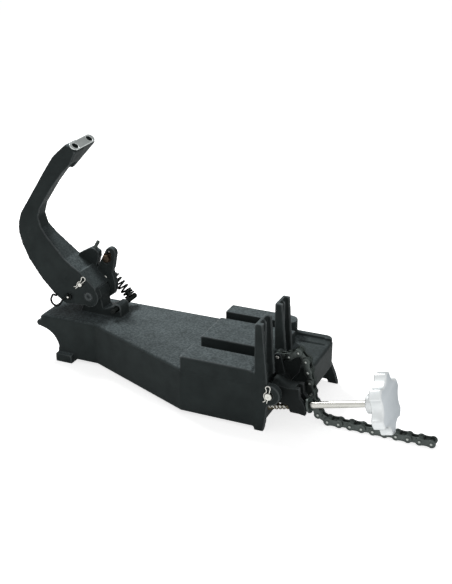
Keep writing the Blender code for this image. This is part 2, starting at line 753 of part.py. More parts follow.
def wing_mesh():
    """The wing under the pad, from the limb to the far side; its top is cut off later."""
    pad = pad_frame()
    wing = [
        (LIMB_Y[1] - OVERLAP, -WING_ROOT), (WING_TIP_Y, -WING_END), (WING_TIP_Y, PAD_RAISE),
        (LIMB_Y[1] - OVERLAP, PAD_RAISE),
    ]
    turn = pad @ Matrix.Translation((0.0, -PAD_PLACE[1], 0.0)) @ Matrix(
        ((0.0, 0.0, 1.0, 0.0), (1.0, 0.0, 0.0, 0.0), (0.0, 1.0, 0.0, 0.0), (0.0, 0.0, 0.0, 1.0)))
    return slab([wing], (turn, PAD_WIDTH))


def channel_mesh():
    """The shallow channel in the limb's inner face, before its near flange is kept."""
    inner = LIMB_INNER[CHANNEL_FIRST_INDEX:]
    floor = moved_edges(inner, CHANNEL_DEPTH, closed=False)
    mouth = moved_edges(inner, -CHANNEL_DEPTH, closed=False)
    return slab([floor + mouth[::-1]], side(FORK_Y[0] - PAST, FORK_Y[1] + 2 * PAST))


def channel_plan():
    """The channel's plan along the lower limb: it leaves the near flange and is open on the far side."""
    limb = LIMB_Y[0] + CHANNEL_FLANGE
    fork = FORK_Y[0] + CHANNEL_FLANGE
    far = FORK_Y[1] + PAST
    return [(-REACH, limb), (0.0, limb), (FLARE_LENGTH, fork), (REACH, fork), (REACH, far), (-REACH, far)]


def arm_lugs():
    """The far cheek's front, its slotted lug and the lug that holds the stop rod."""
    slotted = [*LUG_FOOT, *arc_points(LUG_TOP, LUG_TOP_RADIUS, 0.0, 150.0, 7), LUG_BACK]
    return {
        "far_cheek": slab([CHEEK], side(*CHEEK_Y)),
        "slot_lug": slab([slotted], side(*LUG_Y)),
        "rod_lug": slab([ROD_LUG], side(ROD_Y - ROD_LUG_HALF, ROD_Y + ROD_LUG_HALF)),
    }


def arm_cuts():
    """The fork's gap, the bores and the lug's slot."""
    pad = pad_frame()
    slot_place = Matrix.Translation((SLOT_MIDDLE[0], 0.0, SLOT_MIDDLE[1]))
    slot_turn = slot_place @ Matrix.Rotation(math.radians(SLOT_LEAN), 4, "Y")
    slot_frame = slot_turn @ side(*LUG_Y)[0]
    rod_start = Vector((ROD_FOOT[0], ROD_Y, ROD_FOOT[1]))
    rod_end = Vector((ROD_TIP[0], ROD_Y, ROD_TIP[1]))
    cuts = {
        "fork_gap": slab([barrel_gap(BARREL_RADIUS + BARREL_PLAY)], side(*LIMB_Y)),
        "pivot_bore": cross_rod(PIVOT, (FORK_Y[0] - PAST, FORK_Y[1] + PAST), PIVOT_PIN_RADIUS + PIN_PLAY),
        "cross_bore": cross_rod(CROSS_PIN_PLACE, (FORK_Y[0] - PAST, FORK_Y[1] + PAST),
                                CROSS_PIN_RADIUS + PIN_PLAY, SMALL_SIDES),
        "hook_bore": cross_rod(HOOK_PIN_PLACE, (FORK_Y[0] - PAST, LIMB_Y[0]),
                               HOOK_PIN_RADIUS + FIT, SMALL_SIDES),
        "spring_bore": cross_rod(SPRING_PIN_PLACE, (LIMB_Y[1], FORK_Y[1] + PAST),
                                 SPRING_PIN_RADIUS + FIT, SMALL_SIDES),
        "slot": slab([obround(SLOT_LENGTH, SLOT_WIDTH)], (slot_frame, 3 * (LUG_Y[1] - LUG_Y[0]))),
        "rod_bore": rod(rod_start, rod_end, ROD_RADIUS + FIT, SMALL_SIDES),
    }
    for label, sign in (("near", -1.0), ("far", 1.0)):
        place = Vector((0.0, sign * PAD_HOLE_SPACING / 2, 0.0))
        reach = Vector((0.0, 0.0, PAD_HOLE_DEPTH))
        cuts[label + "_hole"] = rod(pad @ (place - reach), pad @ (place + reach), PAD_HOLE_RADIUS, PIN_SIDES)
    return cuts


def build_arm_pins(stand, steel, zinc, dark, paint):
    """Pins, bolt and rod that ride on the arm, and the painted pivot pin in the base."""
    length = FORK_Y[1] - FORK_Y[0]
    pivot = stand.piece("pivot_pin", profile_mesh(chamfered(PIVOT_PIN_RADIUS, length)), paint, None,
                        across(PIVOT, FORK_Y[0]))
    spin(pivot)
    near = FORK_Y[0] - 2.5 * PIN_PROUD
    cross_mesh = cross_rod(CROSS_PIN_PLACE, (near, FORK_Y[1] + PIN_PROUD), CROSS_PIN_RADIUS, PIN_SIDES)
    cross = stand.piece("cross_pin", cross_mesh, steel, "arm_hinge")
    clip_y = near + PIN_PROUD
    hole = clip_hole(CROSS_PIN_PLACE, clip_y, CROSS_PIN_RADIUS, CROSS_CLIP_TURN)
    combine(cross, stand.tool("cross_pin_hole", hole), "DIFFERENCE")
    clip = clip_points(CROSS_PIN_PLACE, clip_y, CROSS_PIN_RADIUS, CROSS_CLIP_TURN)
    stand.piece("cross_clip", wire(clip, CLIP_WIRE / 2), steel, "arm_hinge")
    spring_reach = (LIMB_Y[1] + FIT, SPRING_Y + LIFT_COIL_RADIUS)
    stand.piece("spring_pin", cross_rod(SPRING_PIN_PLACE, spring_reach, SPRING_PIN_RADIUS, PIN_SIDES),
                steel, "arm_hinge")
    hook_reach = (HOOK_Y - HOOK_WIRE, LIMB_Y[0] - FIT)
    stand.piece("hook_pin", cross_rod(HOOK_PIN_PLACE, hook_reach, HOOK_PIN_RADIUS, SMALL_SIDES),
                steel, "arm_hinge")
    foot = Vector((ROD_FOOT[0], ROD_Y, ROD_FOOT[1]))
    tip = Vector((ROD_TIP[0], ROD_Y, ROD_TIP[1]))
    seated = foot + (tip - foot).normalized() * FIT
    stand.piece("stop_rod", rod(seated, tip, ROD_RADIUS, SMALL_SIDES), dark, "arm_hinge")
    build_bolt(stand, zinc)


def build_bolt(stand, zinc):
    """The zinc bolt in the far lug's slot: hex head and shank, washer and nut."""
    head_low = LUG_Y[0] - FIT - WASHER_THICK - FIT - BOLT_HEAD_HEIGHT
    flats = BOLT_HEAD_FLATS / math.sqrt(3.0)
    place = SLOT_MIDDLE
    head = cross_rod(place, (head_low, head_low + BOLT_HEAD_HEIGHT), flats, 6)
    bolt = stand.piece("slot_bolt", head, zinc, "arm_hinge")
    nut_low = LUG_Y[1] + FIT
    shank_end = nut_low + BOLT_HEAD_HEIGHT + PIN_PROUD
    shank = cross_rod(place, (head_low + OVERLAP, shank_end), BOLT_RADIUS, SMALL_SIDES)
    combine(bolt, stand.tool("bolt_shank", shank), "UNION")
    washer_low = LUG_Y[0] - FIT - WASHER_THICK
    ring = [circle(place, WASHER_RADIUS, PIN_SIDES), circle(place, BOLT_RADIUS + FIT, SMALL_SIDES)]
    stand.piece("slot_washer", slab(ring, side(washer_low, washer_low + WASHER_THICK)), zinc, "arm_hinge")
    nut = [circle(place, flats, 6), circle(place, BOLT_RADIUS + FIT, SMALL_SIDES)]
    stand.piece("slot_nut", slab(nut, side(nut_low, nut_low + BOLT_HEAD_HEIGHT)), zinc, "arm_hinge")


# Clips, pins and springs

def across(place, low):
    """A frame whose Z axis runs along +Y from a low end, at an (X, Z) place."""
    return Matrix.Translation((place[0], low, place[1])) @ Matrix.Rotation(math.radians(-90.0), 4, "X")


def chamfered(radius, length):
    """The half section of a pin with chamfered ends."""
    tip = radius - PIN_CHAMFER
    return [(0.0, 0.0), (tip, 0.0), (radius, PIN_CHAMFER), (radius, length - PIN_CHAMFER),
            (tip, length), (0.0, length)]


def clip_points(place, y, pin_radius, turn):
    """An R-clip: one leg through the pin, a loop, and the other leg bent around the pin's outside."""
    outside = pin_radius + CLIP_WIRE
    leg = [(-CLIP_LEG, 0.0), (CLIP_LEG * 0.95, 0.0)]
    loop = arc_points((CLIP_LEG * 1.05, CLIP_LOOP), CLIP_LOOP, -75.0, 150.0, 9)
    around = arc_points((0.0, 0.0), outside, 40.0, 140.0, 6)
    tail = [(-CLIP_LEG * 0.75, outside * 0.42), (-CLIP_LEG, outside * 0.8)]
    tilt = math.radians(turn)
    points = []
    for along, up in leg + loop + around + tail:
        points.append((place[0] + along * math.cos(tilt) - up * math.sin(tilt), y,
                       place[1] + along * math.sin(tilt) + up * math.cos(tilt)))
    return points


def clip_hole(place, y, pin_radius, turn):
    """The cross hole in a pin that an R-clip goes through."""
    tilt = math.radians(turn)
    middle = Vector((place[0], y, place[1]))
    reach = Vector((math.cos(tilt), 0.0, math.sin(tilt))) * pin_radius * 2.0
    return rod(middle - reach, middle + reach, CLIP_WIRE / 2 + FIT, LINK_SIDES)


def build_lift_spring(stand, dark):
    """The spring bar in the pedestal's toe, the seat on it and the open coil up to the arm's spring pin."""
    stand.piece("spring_bar", cross_rod(BAR_PLACE, BAR_Y, BAR_RADIUS, PIN_SIDES), dark)
    along = Vector((SPRING_PIN_PLACE[0] - BAR_PLACE[0], SPRING_PIN_PLACE[1] - BAR_PLACE[1]))
    slope = math.degrees(math.atan2(along.y, along.x))
    frame = tilted((BAR_PLACE[0], SPRING_Y, BAR_PLACE[1]), slope)
    seat_low = BAR_RADIUS + FIT
    seat_top = seat_low + SEAT_THICK
    spigot_top = seat_top + SEAT_SPIGOT
    profile = [(0.0, seat_low), (SEAT_RADIUS, seat_low), (SEAT_RADIUS, seat_top),
               (SEAT_SPIGOT_RADIUS, seat_top), (SEAT_SPIGOT_RADIUS, spigot_top), (0.0, spigot_top)]
    spin(stand.piece("spring_seat", profile_mesh(profile), dark, None, frame), PIN_SIDES)
    low = seat_top + FIT + LIFT_WIRE / 2
    high = along.length - SPRING_PIN_RADIUS - FIT - LIFT_WIRE / 2
    points = coil_points(LIFT_COIL_RADIUS, low, high, LIFT_TURNS)
    print("lift_spring least gap to itself, mm:", round(1000.0 * least_gap(points, LIFT_WIRE), 2))
    stand.piece("lift_spring", wire(points, LIFT_WIRE / 2, COIL_SIDES), dark, None, frame)


def build_tie_hook(stand, dark):
    """The bent wire hook on the near cheek: an eye on the hook pin and an open hook over the rear deck."""
    eye = HOOK_PIN_RADIUS + HOOK_WIRE / 2 + PIN_PLAY
    path = [*arc_points((0.0, 0.0), eye, 40.0, -250.0, 12), *HOOK_SHANK,
            *arc_points(HOOK_BOW, HOOK_BOW_RADIUS, -40.0, -215.0, 8), *HOOK_TIP]
    points = [(HOOK_PIN_PLACE[0] + along, HOOK_Y, HOOK_PIN_PLACE[1] + up) for along, up in path]
    stand.piece("tie_hook", wire(points, HOOK_WIRE / 2), dark, "hook_hinge")


# Chain vise

def chain_places():
    """The chain's pins as (X, Z), worked back from the first pin on the floor."""
    slopes = [math.radians(slope) for slope in LINK_SLOPES]
    steps = [Vector((math.cos(slope), math.sin(slope))) * PITCH for slope in slopes]
    start = Vector((FLOOR_PIN_X, PLATE_HALF + FIT)) - sum(steps, Vector((0.0, 0.0)))
    places = [start]
    for step in steps + [Vector((PITCH, 0.0))] * FLAT_LINKS:
        places.append(places[-1] + step)
    return places


def screw_height(x):
    """The height of the clamp screw's axis at an x."""
    return SCREW_THROUGH[1] + math.tan(math.radians(SCREW_SLOPE)) * (x - SCREW_THROUGH[0])


def nut_place():
    """The middle of the trunnion nut, just behind the front wall."""
    x = FRONT_WALL_X - WALL - FIT - NUT_RADIUS
    return Vector((x, SCREW_Y, screw_height(x)))


def build_lever(stand, material, steel):
    """The tension lever: hub, tongue under the chain, lugs for the chain's end and the forked block."""
    hub_reach = (LEVER_EAR_Y + LEVER_SIDE_PLAY, TRAY_NEAR_Y - LEVER_SIDE_PLAY)
    hub = cross_rod(LEVER_PIN, hub_reach, LEVER_HUB_RADIUS)
    lever = stand.piece("tension_lever", hub, material, "lever_swing")
    anchor, first, second, third = chain_places()[:4]
    clear = ROLLER_RADIUS + 2 * FIT
    tongue = [
        (LEVER_PIN[0] - TONGUE_FOOT, LEVER_PIN[1]), (LEVER_PIN[0] + 0.010, LEVER_PIN[1] - 0.004), TONGUE_LOW,
        (third.x - clear - 0.002, third.y - clear), (third.x - clear * 1.25, third.y + 0.002),
        (second.x + 0.003, second.y - clear * 1.1), (second.x - 0.003, second.y - clear * 1.1),
        (first.x + 0.004, first.y - clear * 1.02), (first.x - 0.005, first.y - clear * 1.05),
        (anchor.x + 0.007, anchor.y - clear * 1.4), (anchor.x - 0.004, anchor.y - clear * 1.5),
    ]
    half = TONGUE_WIDTH / 2
    solids = {"tongue": slab([tongue], side(CHAIN_Y - half, CHAIN_Y + half))}
    lug = [(LEVER_PIN[0] - 0.009, LEVER_PIN[1]), (LEVER_PIN[0] + 0.009, LEVER_PIN[1]),
           *arc_points(tuple(anchor), LUG_RADIUS, 0.0, 180.0, 10)]
    plate = INNER_GAP / 2 + PLATE_THICK + FIT * 2
    for label, low in (("near_lug", CHAIN_Y - plate - LUG_THICK), ("far_lug", CHAIN_Y + plate)):
        solids[label] = slab([lug], side(low, low + LUG_THICK))
    block = [
        (LEVER_PIN[0], LEVER_PIN[1] - BLOCK_HALF), *BLOCK_LOW, *lever_nose(), *BLOCK_TOP,
        (LEVER_PIN[0], LEVER_PIN[1] + BLOCK_HALF),
    ]
    solids["block"] = slab([block], side(*BLOCK_Y))
    for label, mesh in solids.items():
        combine(lever, stand.tool("lever_" + label, mesh), "UNION")
    cuts = {
        "pin_bore": cross_rod(LEVER_PIN, (NEAR_Y, 0.0), LEVER_PIN_RADIUS + PIN_PLAY),
        "anchor_bore": cross_rod(tuple(anchor), (CHAIN_Y - CHAIN_WIDTH, CHAIN_Y + CHAIN_WIDTH),
                                 CHAIN_PIN_RADIUS + PIN_PLAY, SMALL_SIDES),
        "slot": slab([BLOCK_SLOT_PATH], side(SCREW_Y - BLOCK_SLOT / 2, SCREW_Y + BLOCK_SLOT / 2)),
    }
    for label, mesh in cuts.items():
        combine(lever, stand.tool("lever_" + label, mesh), "DIFFERENCE")
    outer = plate + LUG_THICK + PIN_PROUD / 2
    stand.piece("chain_anchor_pin", cross_rod(tuple(anchor), (CHAIN_Y - outer, CHAIN_Y + outer),
                                              CHAIN_PIN_RADIUS, LINK_SIDES), steel, "lever_swing")
    pin = stand.piece("lever_pin", cross_rod(LEVER_PIN, LEVER_PIN_Y, LEVER_PIN_RADIUS, PIN_SIDES), steel)
    clip_y = (NEAR_Y + LEVER_PIN_Y[0]) / 2
    hole = clip_hole(LEVER_PIN, clip_y, LEVER_PIN_RADIUS, LEVER_CLIP_TURN)
    combine(pin, stand.tool("lever_pin_hole", hole), "DIFFERENCE")
    clip = clip_points(LEVER_PIN, clip_y, LEVER_PIN_RADIUS, LEVER_CLIP_TURN)
    stand.piece("lever_clip", wire(clip, CLIP_WIRE / 2), steel)


def lever_nose():
    """The rounded bearing face of the lever block, an arc about a centre on the screw's axis."""
    nut = nut_place()
    slope = math.radians(SCREW_SLOPE)
    reach = BLOCK_REACH - BLOCK_NOSE_RADIUS
    center = (nut.x + reach * math.cos(slope), nut.z + reach * math.sin(slope))
    return arc_points(center, BLOCK_NOSE_RADIUS, -12.0, 50.0, 8)


def screw_frame():
    """The clamp screw's frame: Z along the screw from the trunnion nut."""
    return tilted(nut_place(), SCREW_SLOPE)


def build_screw(stand, steel, zinc, dark, alloy):
    """The clamp screw with its nut, thrust washer, spring, knob and knob pin."""
    frame = screw_frame()
    middle = nut_place()
    nut_reach = (SCREW_Y - NUT_LENGTH / 2, SCREW_Y + NUT_LENGTH / 2)
    barrel = cross_rod((middle.x, middle.z), nut_reach, NUT_RADIUS)
    nut = stand.piece("trunnion_nut", barrel, steel, "screw_tilt")
    bore = rod(frame @ Vector((0.0, 0.0, -PAST)), frame @ Vector((0.0, 0.0, PAST)),
               THREAD_RADIUS + FIT, SMALL_SIDES)
    combine(nut, stand.tool("nut_bore", bore), "DIFFERENCE")
    washer_low = BLOCK_REACH + BLOCK_PLAY
    washer_top = washer_low + THRUST_WASHER_THICK
    washer = [(THREAD_RADIUS + FIT, washer_low), (THRUST_WASHER_RADIUS, washer_low),
              (THRUST_WASHER_RADIUS, washer_top), (THREAD_RADIUS + FIT, washer_top)]
    spin(stand.piece("thrust_washer", profile_mesh(washer), dark, "screw_slide", frame))
    shoulder = washer_top + FIT
    end = KNOB_REACH + KNOB_THICK / 2 - PIN_PROUD
    screw = [(0.0, -THREAD_TAIL), (THREAD_RADIUS, -THREAD_TAIL), (THREAD_RADIUS, shoulder),
             (SHANK_RADIUS, shoulder), (SHANK_RADIUS, end), (0.0, end)]
    shaft = stand.piece("clamp_screw", profile_mesh(screw), steel, "knob_spin", frame)
    spin(shaft, PIN_SIDES)
    pin_reach = KNOB_REACH - KNOB_THICK / 2 - KNOB_HUB / 2
    pin_hole = rod(frame @ Vector((0.0, -PAST, pin_reach)), frame @ Vector((0.0, PAST, pin_reach)),
                   KNOB_PIN_RADIUS + FIT, LINK_SIDES)
    hole = stand.tool("knob_pin_hole", pin_hole)
    combine(shaft, hole, "DIFFERENCE")
    half = KNOB_HUB_RADIUS - FIT
    pin_start = frame @ Vector((0.0, -half, pin_reach))
    pin_end = frame @ Vector((0.0, half, pin_reach))
    stand.piece("knob_pin", rod(pin_start, pin_end, KNOB_PIN_RADIUS, LINK_SIDES), steel, "knob_spin")
    points = coil_points(SCREW_COIL_RADIUS, SPRING_REACH[0], SPRING_REACH[1], SCREW_TURNS)
    print("screw_spring least gap to itself, mm:", round(1000.0 * least_gap(points, SCREW_WIRE), 2))
    stand.piece("screw_spring", wire(points, SCREW_WIRE / 2, COIL_SIDES), zinc, "screw_tilt", frame)
    build_knob(stand, alloy, frame, hole)


def knob_outline():
    """The knob's rim: flat tipped lobes, the first one near the top, with a round scallop after each."""
    half_tip = math.degrees(math.asin(KNOB_TIP / 2 / KNOB_RADIUS))
    half_gap = math.radians(180.0 / KNOB_LOBES - half_tip)
    chord = KNOB_RADIUS * math.cos(half_gap)
    half_chord = KNOB_RADIUS * math.sin(half_gap)
    depth = chord - KNOB_NOTCH
    scallop = (half_chord ** 2 + depth ** 2) / (2.0 * depth)
    spread = math.degrees(math.asin(half_chord / scallop))
    rim = []
    for lobe in range(KNOB_LOBES):
        tip = 180.0 - KNOB_TURN + 360.0 * lobe / KNOB_LOBES
        rim += arc_points((0.0, 0.0), KNOB_RADIUS, tip - half_tip, tip + half_tip, 3)
        notch = tip + 180.0 / KNOB_LOBES
        center = arc_points((0.0, 0.0), KNOB_NOTCH + scallop, notch, notch, 1)[0]
        rim += arc_points(center, scallop, notch + 180.0 + spread, notch + 180.0 - spread, 9)[1:-1]
    return rim


def build_knob(stand, alloy, frame, pin_hole):
    """The lobed knob with its hub toward the vise."""
    middle = frame @ Matrix.Translation((0.0, 0.0, KNOB_REACH))
    knob = stand.piece("hand_knob", slab([knob_outline()], (middle, KNOB_THICK)), alloy, "knob_spin")
    hub_low = KNOB_REACH - KNOB_THICK / 2 - KNOB_HUB
    hub = rod(frame @ Vector((0.0, 0.0, hub_low)), frame @ Vector((0.0, 0.0, KNOB_REACH)), KNOB_HUB_RADIUS)
    combine(knob, stand.tool("knob_hub", hub), "UNION")
    bore = rod(frame @ Vector((0.0, 0.0, hub_low - PAST)), frame @ Vector((0.0, 0.0, KNOB_REACH + PAST)),
               SHANK_RADIUS + FIT, PIN_SIDES)
    combine(knob, stand.tool("knob_bore", bore), "DIFFERENCE")
    combine(knob, pin_hole, "DIFFERENCE")


def plate_outline():
    """A waisted chain plate along its first axis, from pin to pin."""
    waist = (PLATE_HALF - PLATE_WAIST)
    neck = PITCH / 2 - PLATE_HALF * math.cos(math.radians(60.0))
    rise = PLATE_HALF * math.sin(math.radians(60.0))
    end = arc_points((PITCH / 2, 0.0), PLATE_HALF, -120.0, 120.0, 8)
    other = arc_points((-PITCH / 2, 0.0), PLATE_HALF, 60.0, 300.0, 8)
    middle = min(PLATE_WAIST, rise - waist / 2)
    flat = neck * 0.4
    return [*end, (flat, middle), (-flat, middle), *other, (-flat, -middle), (flat, -middle)]


def chain_link_meshes(stand, material):
    """One outer and one inner link, about the link's middle, each a single solid."""
    outline = plate_outline()
    ends = ((-PITCH / 2, 0.0), (PITCH / 2, 0.0))
    inner_low = INNER_GAP / 2
    outer_low = inner_low + PLATE_THICK + FIT
    outer = stand.piece("outer_link", slab([outline], side(outer_low, outer_low + PLATE_THICK)), material)
    tools = [stand.tool("outer_plate", slab([outline], side(-outer_low - PLATE_THICK, -outer_low)))]
    half = CHAIN_WIDTH / 2
    for end in ends:
        tools.append(stand.tool("outer_pin", cross_rod(end, (-half, half), CHAIN_PIN_RADIUS, LINK_SIDES)))
    for tool in tools:
        combine(outer, tool, "UNION")
    inner = stand.piece("inner_link", slab([outline], side(inner_low, inner_low + PLATE_THICK)), material)
    inner_tools = [stand.tool("inner_plate", slab([outline], side(-inner_low - PLATE_THICK, -inner_low)))]
    roller = inner_low + PLATE_THICK / 2
    for end in ends:
        inner_tools.append(stand.tool("roller", cross_rod(end, (-roller, roller), ROLLER_RADIUS, LINK_SIDES)))
    for tool in inner_tools:
        combine(inner, tool, "UNION")
    for end in ends:
        bore = stand.tool("bore", cross_rod(end, (-half, half), CHAIN_PIN_RADIUS + PIN_PLAY, LINK_SIDES))
        combine(inner, bore, "DIFFERENCE")
        inner_tools.append(bore)
    meshes = {"outer": baked(outer), "inner": baked(inner)}
    for helper in (outer, inner, *tools, *inner_tools):
        bpy.data.objects.remove(helper)
    return meshes


def link_joint(index):
    """The joint that carries a chain link, counted from the lever."""
    if index < NOSE_LINKS:
        return "lever_swing"
    if index < DROP_END:
        return "chain_hang"
    if index < FLOOR_END:
        return "chain_level"
    return "chain_end_%d" % (index - FLOOR_END + 1)


def build_chain(stand, material):
    """The chain's links from the lever over its nose, down and along the floor, inner and outer in turn."""
    places = chain_places()
    meshes = chain_link_meshes(stand, material)
    for index, (start, end) in enumerate(zip(places, places[1:])):
        kind = "inner" if index % 2 == 0 else "outer"
        middle = (start + end) / 2
        slope = math.atan2(end.y - start.y, end.x - start.x)
        frame = Matrix.Translation((middle.x, CHAIN_Y, middle.y)) @ Matrix.Rotation(-slope, 4, "Y")
        stand.piece("chain_link_%02d" % (index + 1), meshes[kind].copy(), material, link_joint(index), frame)


def add_joints(stand):
    """An empty on every joint's axis, parents first."""
    places = chain_places()
    nut = nut_place()
    stand.joint("arm_hinge", (PIVOT[0], FORK_Y[0], PIVOT[1]))
    stand.joint("hook_hinge", (HOOK_PIN_PLACE[0], HOOK_Y, HOOK_PIN_PLACE[1]), "arm_hinge")
    stand.joint("lever_swing", (LEVER_PIN[0], CHAIN_Y, LEVER_PIN[1]))
    stand.joint("screw_tilt", nut)
    stand.joint("screw_slide", nut, "screw_tilt")
    stand.joint("knob_spin", nut, "screw_slide")
    parent = "lever_swing"
    pins = {"chain_hang": NOSE_LINKS, "chain_level": DROP_END,
            "chain_end_1": FLOOR_END, "chain_end_2": FLOOR_END + 1}
    for name, index in pins.items():
        stand.joint(name, (places[index].x, CHAIN_Y, places[index].y), parent)
        parent = name


def main():
    """Empties the scene and builds the stand."""
    for old in list(bpy.data.objects):
        bpy.data.objects.remove(old)
    stand = Stand()
    paint = finish("charcoal_paint", (0.060, 0.064, 0.066), 0.55, 0.0)
    steel = finish("bright_steel", (0.55, 0.55, 0.54), 0.30, 1.0)
    dark = finish("dark_steel", (0.10, 0.10, 0.10), 0.40, 1.0)
    zinc = finish("yellow_zinc", (0.45, 0.38, 0.20), 0.35, 1.0)
    alloy = finish("cast_alloy", (0.60, 0.60, 0.61), 0.45, 1.0)
    add_joints(stand)
    build_base(stand, paint)
    build_arm(stand, paint)
    build_arm_pins(stand, steel, zinc, dark, paint)
    build_lift_spring(stand, dark)
    build_tie_hook(stand, dark)
    build_lever(stand, paint, steel)
    build_screw(stand, steel, zinc, dark, alloy)
    build_chain(stand, dark)


main()
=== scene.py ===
"""Band saw stand: finished castings, turned steel, wire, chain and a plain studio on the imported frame."""
import logging
import math
from dataclasses import dataclass
from enum import Enum
from typing import ClassVar, Sequence

import bmesh
import bpy
from mathutils import Matrix, Vector


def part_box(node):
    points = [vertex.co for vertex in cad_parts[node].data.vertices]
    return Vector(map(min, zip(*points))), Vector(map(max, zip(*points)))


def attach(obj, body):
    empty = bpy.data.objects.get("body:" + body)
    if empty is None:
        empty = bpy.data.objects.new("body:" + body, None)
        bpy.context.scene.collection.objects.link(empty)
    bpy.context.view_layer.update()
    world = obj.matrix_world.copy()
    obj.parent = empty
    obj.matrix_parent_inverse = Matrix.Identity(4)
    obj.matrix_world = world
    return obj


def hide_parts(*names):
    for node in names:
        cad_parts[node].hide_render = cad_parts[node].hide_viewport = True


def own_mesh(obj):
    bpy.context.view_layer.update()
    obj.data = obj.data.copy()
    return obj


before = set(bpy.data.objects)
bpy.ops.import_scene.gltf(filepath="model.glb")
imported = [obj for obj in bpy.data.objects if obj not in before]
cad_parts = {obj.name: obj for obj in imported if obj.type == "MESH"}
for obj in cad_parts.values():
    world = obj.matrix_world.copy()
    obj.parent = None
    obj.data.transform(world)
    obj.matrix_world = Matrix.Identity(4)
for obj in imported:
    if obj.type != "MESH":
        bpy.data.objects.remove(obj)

LOG = logging.getLogger("band_saw_stand")
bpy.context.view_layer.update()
FRONT_X = 0.1335  # the front datum that places are measured from, as in the part's source

# Values of meshes
WELD = 1e-6
HAIR = 1e-9  # a radius below this is a point on the axis
MITRE = 0.5  # the least cosine of half a corner's turn that an inset follows
SOFTEN = 0.5  # how far one round of softening moves a casting's points
COIL_STEPS = 28  # points in each turn of a spring
HOLE_SIDES = 24  # points round a bolt's hole
WIRE_END = ((0.0, 1.0), (0.7, 0.7), (1.0, 0.0))  # a wire's end: shares of its radius and of its bulge
WIRE_BULGE = 0.6  # how far a wire's end bulges, as a share of its radius
EDGE_ROUND = 0.0004  # the rounding of small stamped or milled edges
TURNED_EDGE = 0.0005  # the chamfer of small turned edges
FACE_STEP = 0.00015  # how far a milled face is drawn above its chamfer

# Values of surfaces
MM_PER_M = 1000.0
OCTAVES = 3.0  # the noise's detail
EVEN = (1.0, 1.0, 1.0)  # a grain of one size along every axis
LATHE = (0.3, 4.0, 0.3)  # fine lines round a pin that lies across the stand
CUTTER = (3.0, 0.15, 3.0)  # the parallel strokes of a mill
MIDDLE = (0.3, 0.7)  # between these lie most of a noise's values
CLOUD_MM = 14.0  # clouds of tone on bare metal
ROUGH_SHARES = (0.85, 1.2)  # how far bare metal's roughness varies
FINE_DEPTH = 0.0002  # how deep tool marks and sand grains go
SAND_MM = 0.8  # the grain of the moulding sand
SAND_RELIEF = 0.15  # how strongly it shows
PATCH_MM = 28.0  # patches where the enamel is thicker or thinner
PATCH_TONES = (0.86, 1.14)
CREST = (0.40, 0.62)  # the crinkle's noise from a low to a crest
CREST_SHARES = (0.38, 1.0)  # the painted sheen colour's share in a low and on a crest
CRINKLE_DEPTH = 0.0006
CRINKLE_RELIEF = (0.05, 0.35)  # how strongly the crinkle shows on sides and on tops
UPWARD = (0.5, 0.9)  # the normal's rise from a side to a top face
SHEEN_FADE_X = (0.126, 0.146)  # between these, from the deck to the tray, the painted sheen on top faces grows weaker
SHEEN_SHARES = (1.0, 0.3)  # the share of the painted sheen left on the deck and on the tray
WEAR_AND_HIGHLIGHT_EDGE = (0.515, 0.57)  # the pointiness from a plain face to a pale edge: rubbed wear and a painted highlight
WEAR_AND_HIGHLIGHT_SHARES = (0.0, 0.6)  # the pale edge colour's share on each
WHITE = (1.0, 1.0, 1.0, 1.0)
PAPER = (0.9, 0.9, 0.9, 1.0)

Outline = list[tuple[float, float]]
Path = list[Vector]
Pair = tuple[float, float]
Triple = tuple[float, float, float]
Tree = bpy.types.NodeTree
Socket = bpy.types.NodeSocket


class Body(str, Enum):
    """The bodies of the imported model."""

    BASE = "base"
    ARM = "arm"
    HOOK = "hook"
    NUT = "nut"
    WASHER = "washer"
    SCREW = "screw"
    LEVER = "lever"
    CHAIN_DROP = "chain_drop"
    CHAIN_FLOOR = "chain_floor"
    CHAIN_END_1 = "chain_end_1"
    CHAIN_END_2 = "chain_end_2"


class Slot(str, Enum):
    """The material slots of the record."""

    PAINT = "charcoal_paint"
    STEEL = "bright_steel"
    ZINC = "yellow_zinc"
    DARK = "dark_steel"
    ALLOY = "cast_alloy"


# Colour and node helpers

def linear(code: str) -> tuple[float, float, float, float]:
    """Turns an sRGB hex code into a linear colour.

    Args:
        code: Six hex digits after a hash sign.
    Returns:
        Red, green, blue and alpha.
    """
    parts = [int(code[start:start + 2], 16) / 255.0 for start in (1, 3, 5)]
    shades = [part / 12.92 if part <= 0.04045 else ((part + 0.055) / 1.055) ** 2.4 for part in parts]
    return (*shades, 1.0)


def add_node(tree: Tree, kind: str, inputs: dict | None = None, **settings) -> bpy.types.Node:
    """Adds a node to a tree.

    Args:
        tree: The material's or world's node tree.
        kind: The node's type name.
        inputs: Values or linked output sockets for its inputs, by name or number.
        settings: The node's own properties.
    Returns:
        The new node.
    """
    node = tree.nodes.new(kind)
    for key, value in settings.items():
        setattr(node, key, value)
    for key, value in (inputs or {}).items():
        if isinstance(value, Socket):
            tree.links.new(value, node.inputs[key])
        else:
            node.inputs[key].default_value = value
    return node


def ranged(tree: Tree, value: Socket, start: Pair = (0.0, 1.0), end: Pair = (0.0, 1.0)) -> Socket:
    """Maps a value from one range to another and holds it there."""
    node = add_node(tree, "ShaderNodeMapRange", {
        "Value": value, "From Min": start[0], "From Max": start[1], "To Min": end[0], "To Max": end[1]})
    return node.outputs["Result"]


def combined(tree: Tree, operation: str, first: Socket, second: Socket | float) -> Socket:
    """Joins two values by an operation such as MULTIPLY."""
    return add_node(tree, "ShaderNodeMath", {0: first, 1: second}, operation=operation).outputs["Value"]


def mixed(tree: Tree, factor: Socket, low: Socket | tuple, high: tuple) -> Socket:
    """Mixes two colours."""
    node = add_node(tree, "ShaderNodeMix", {"Factor": factor, "A": low, "B": high}, data_type="RGBA")
    return node.outputs["Result"]


# Finishes

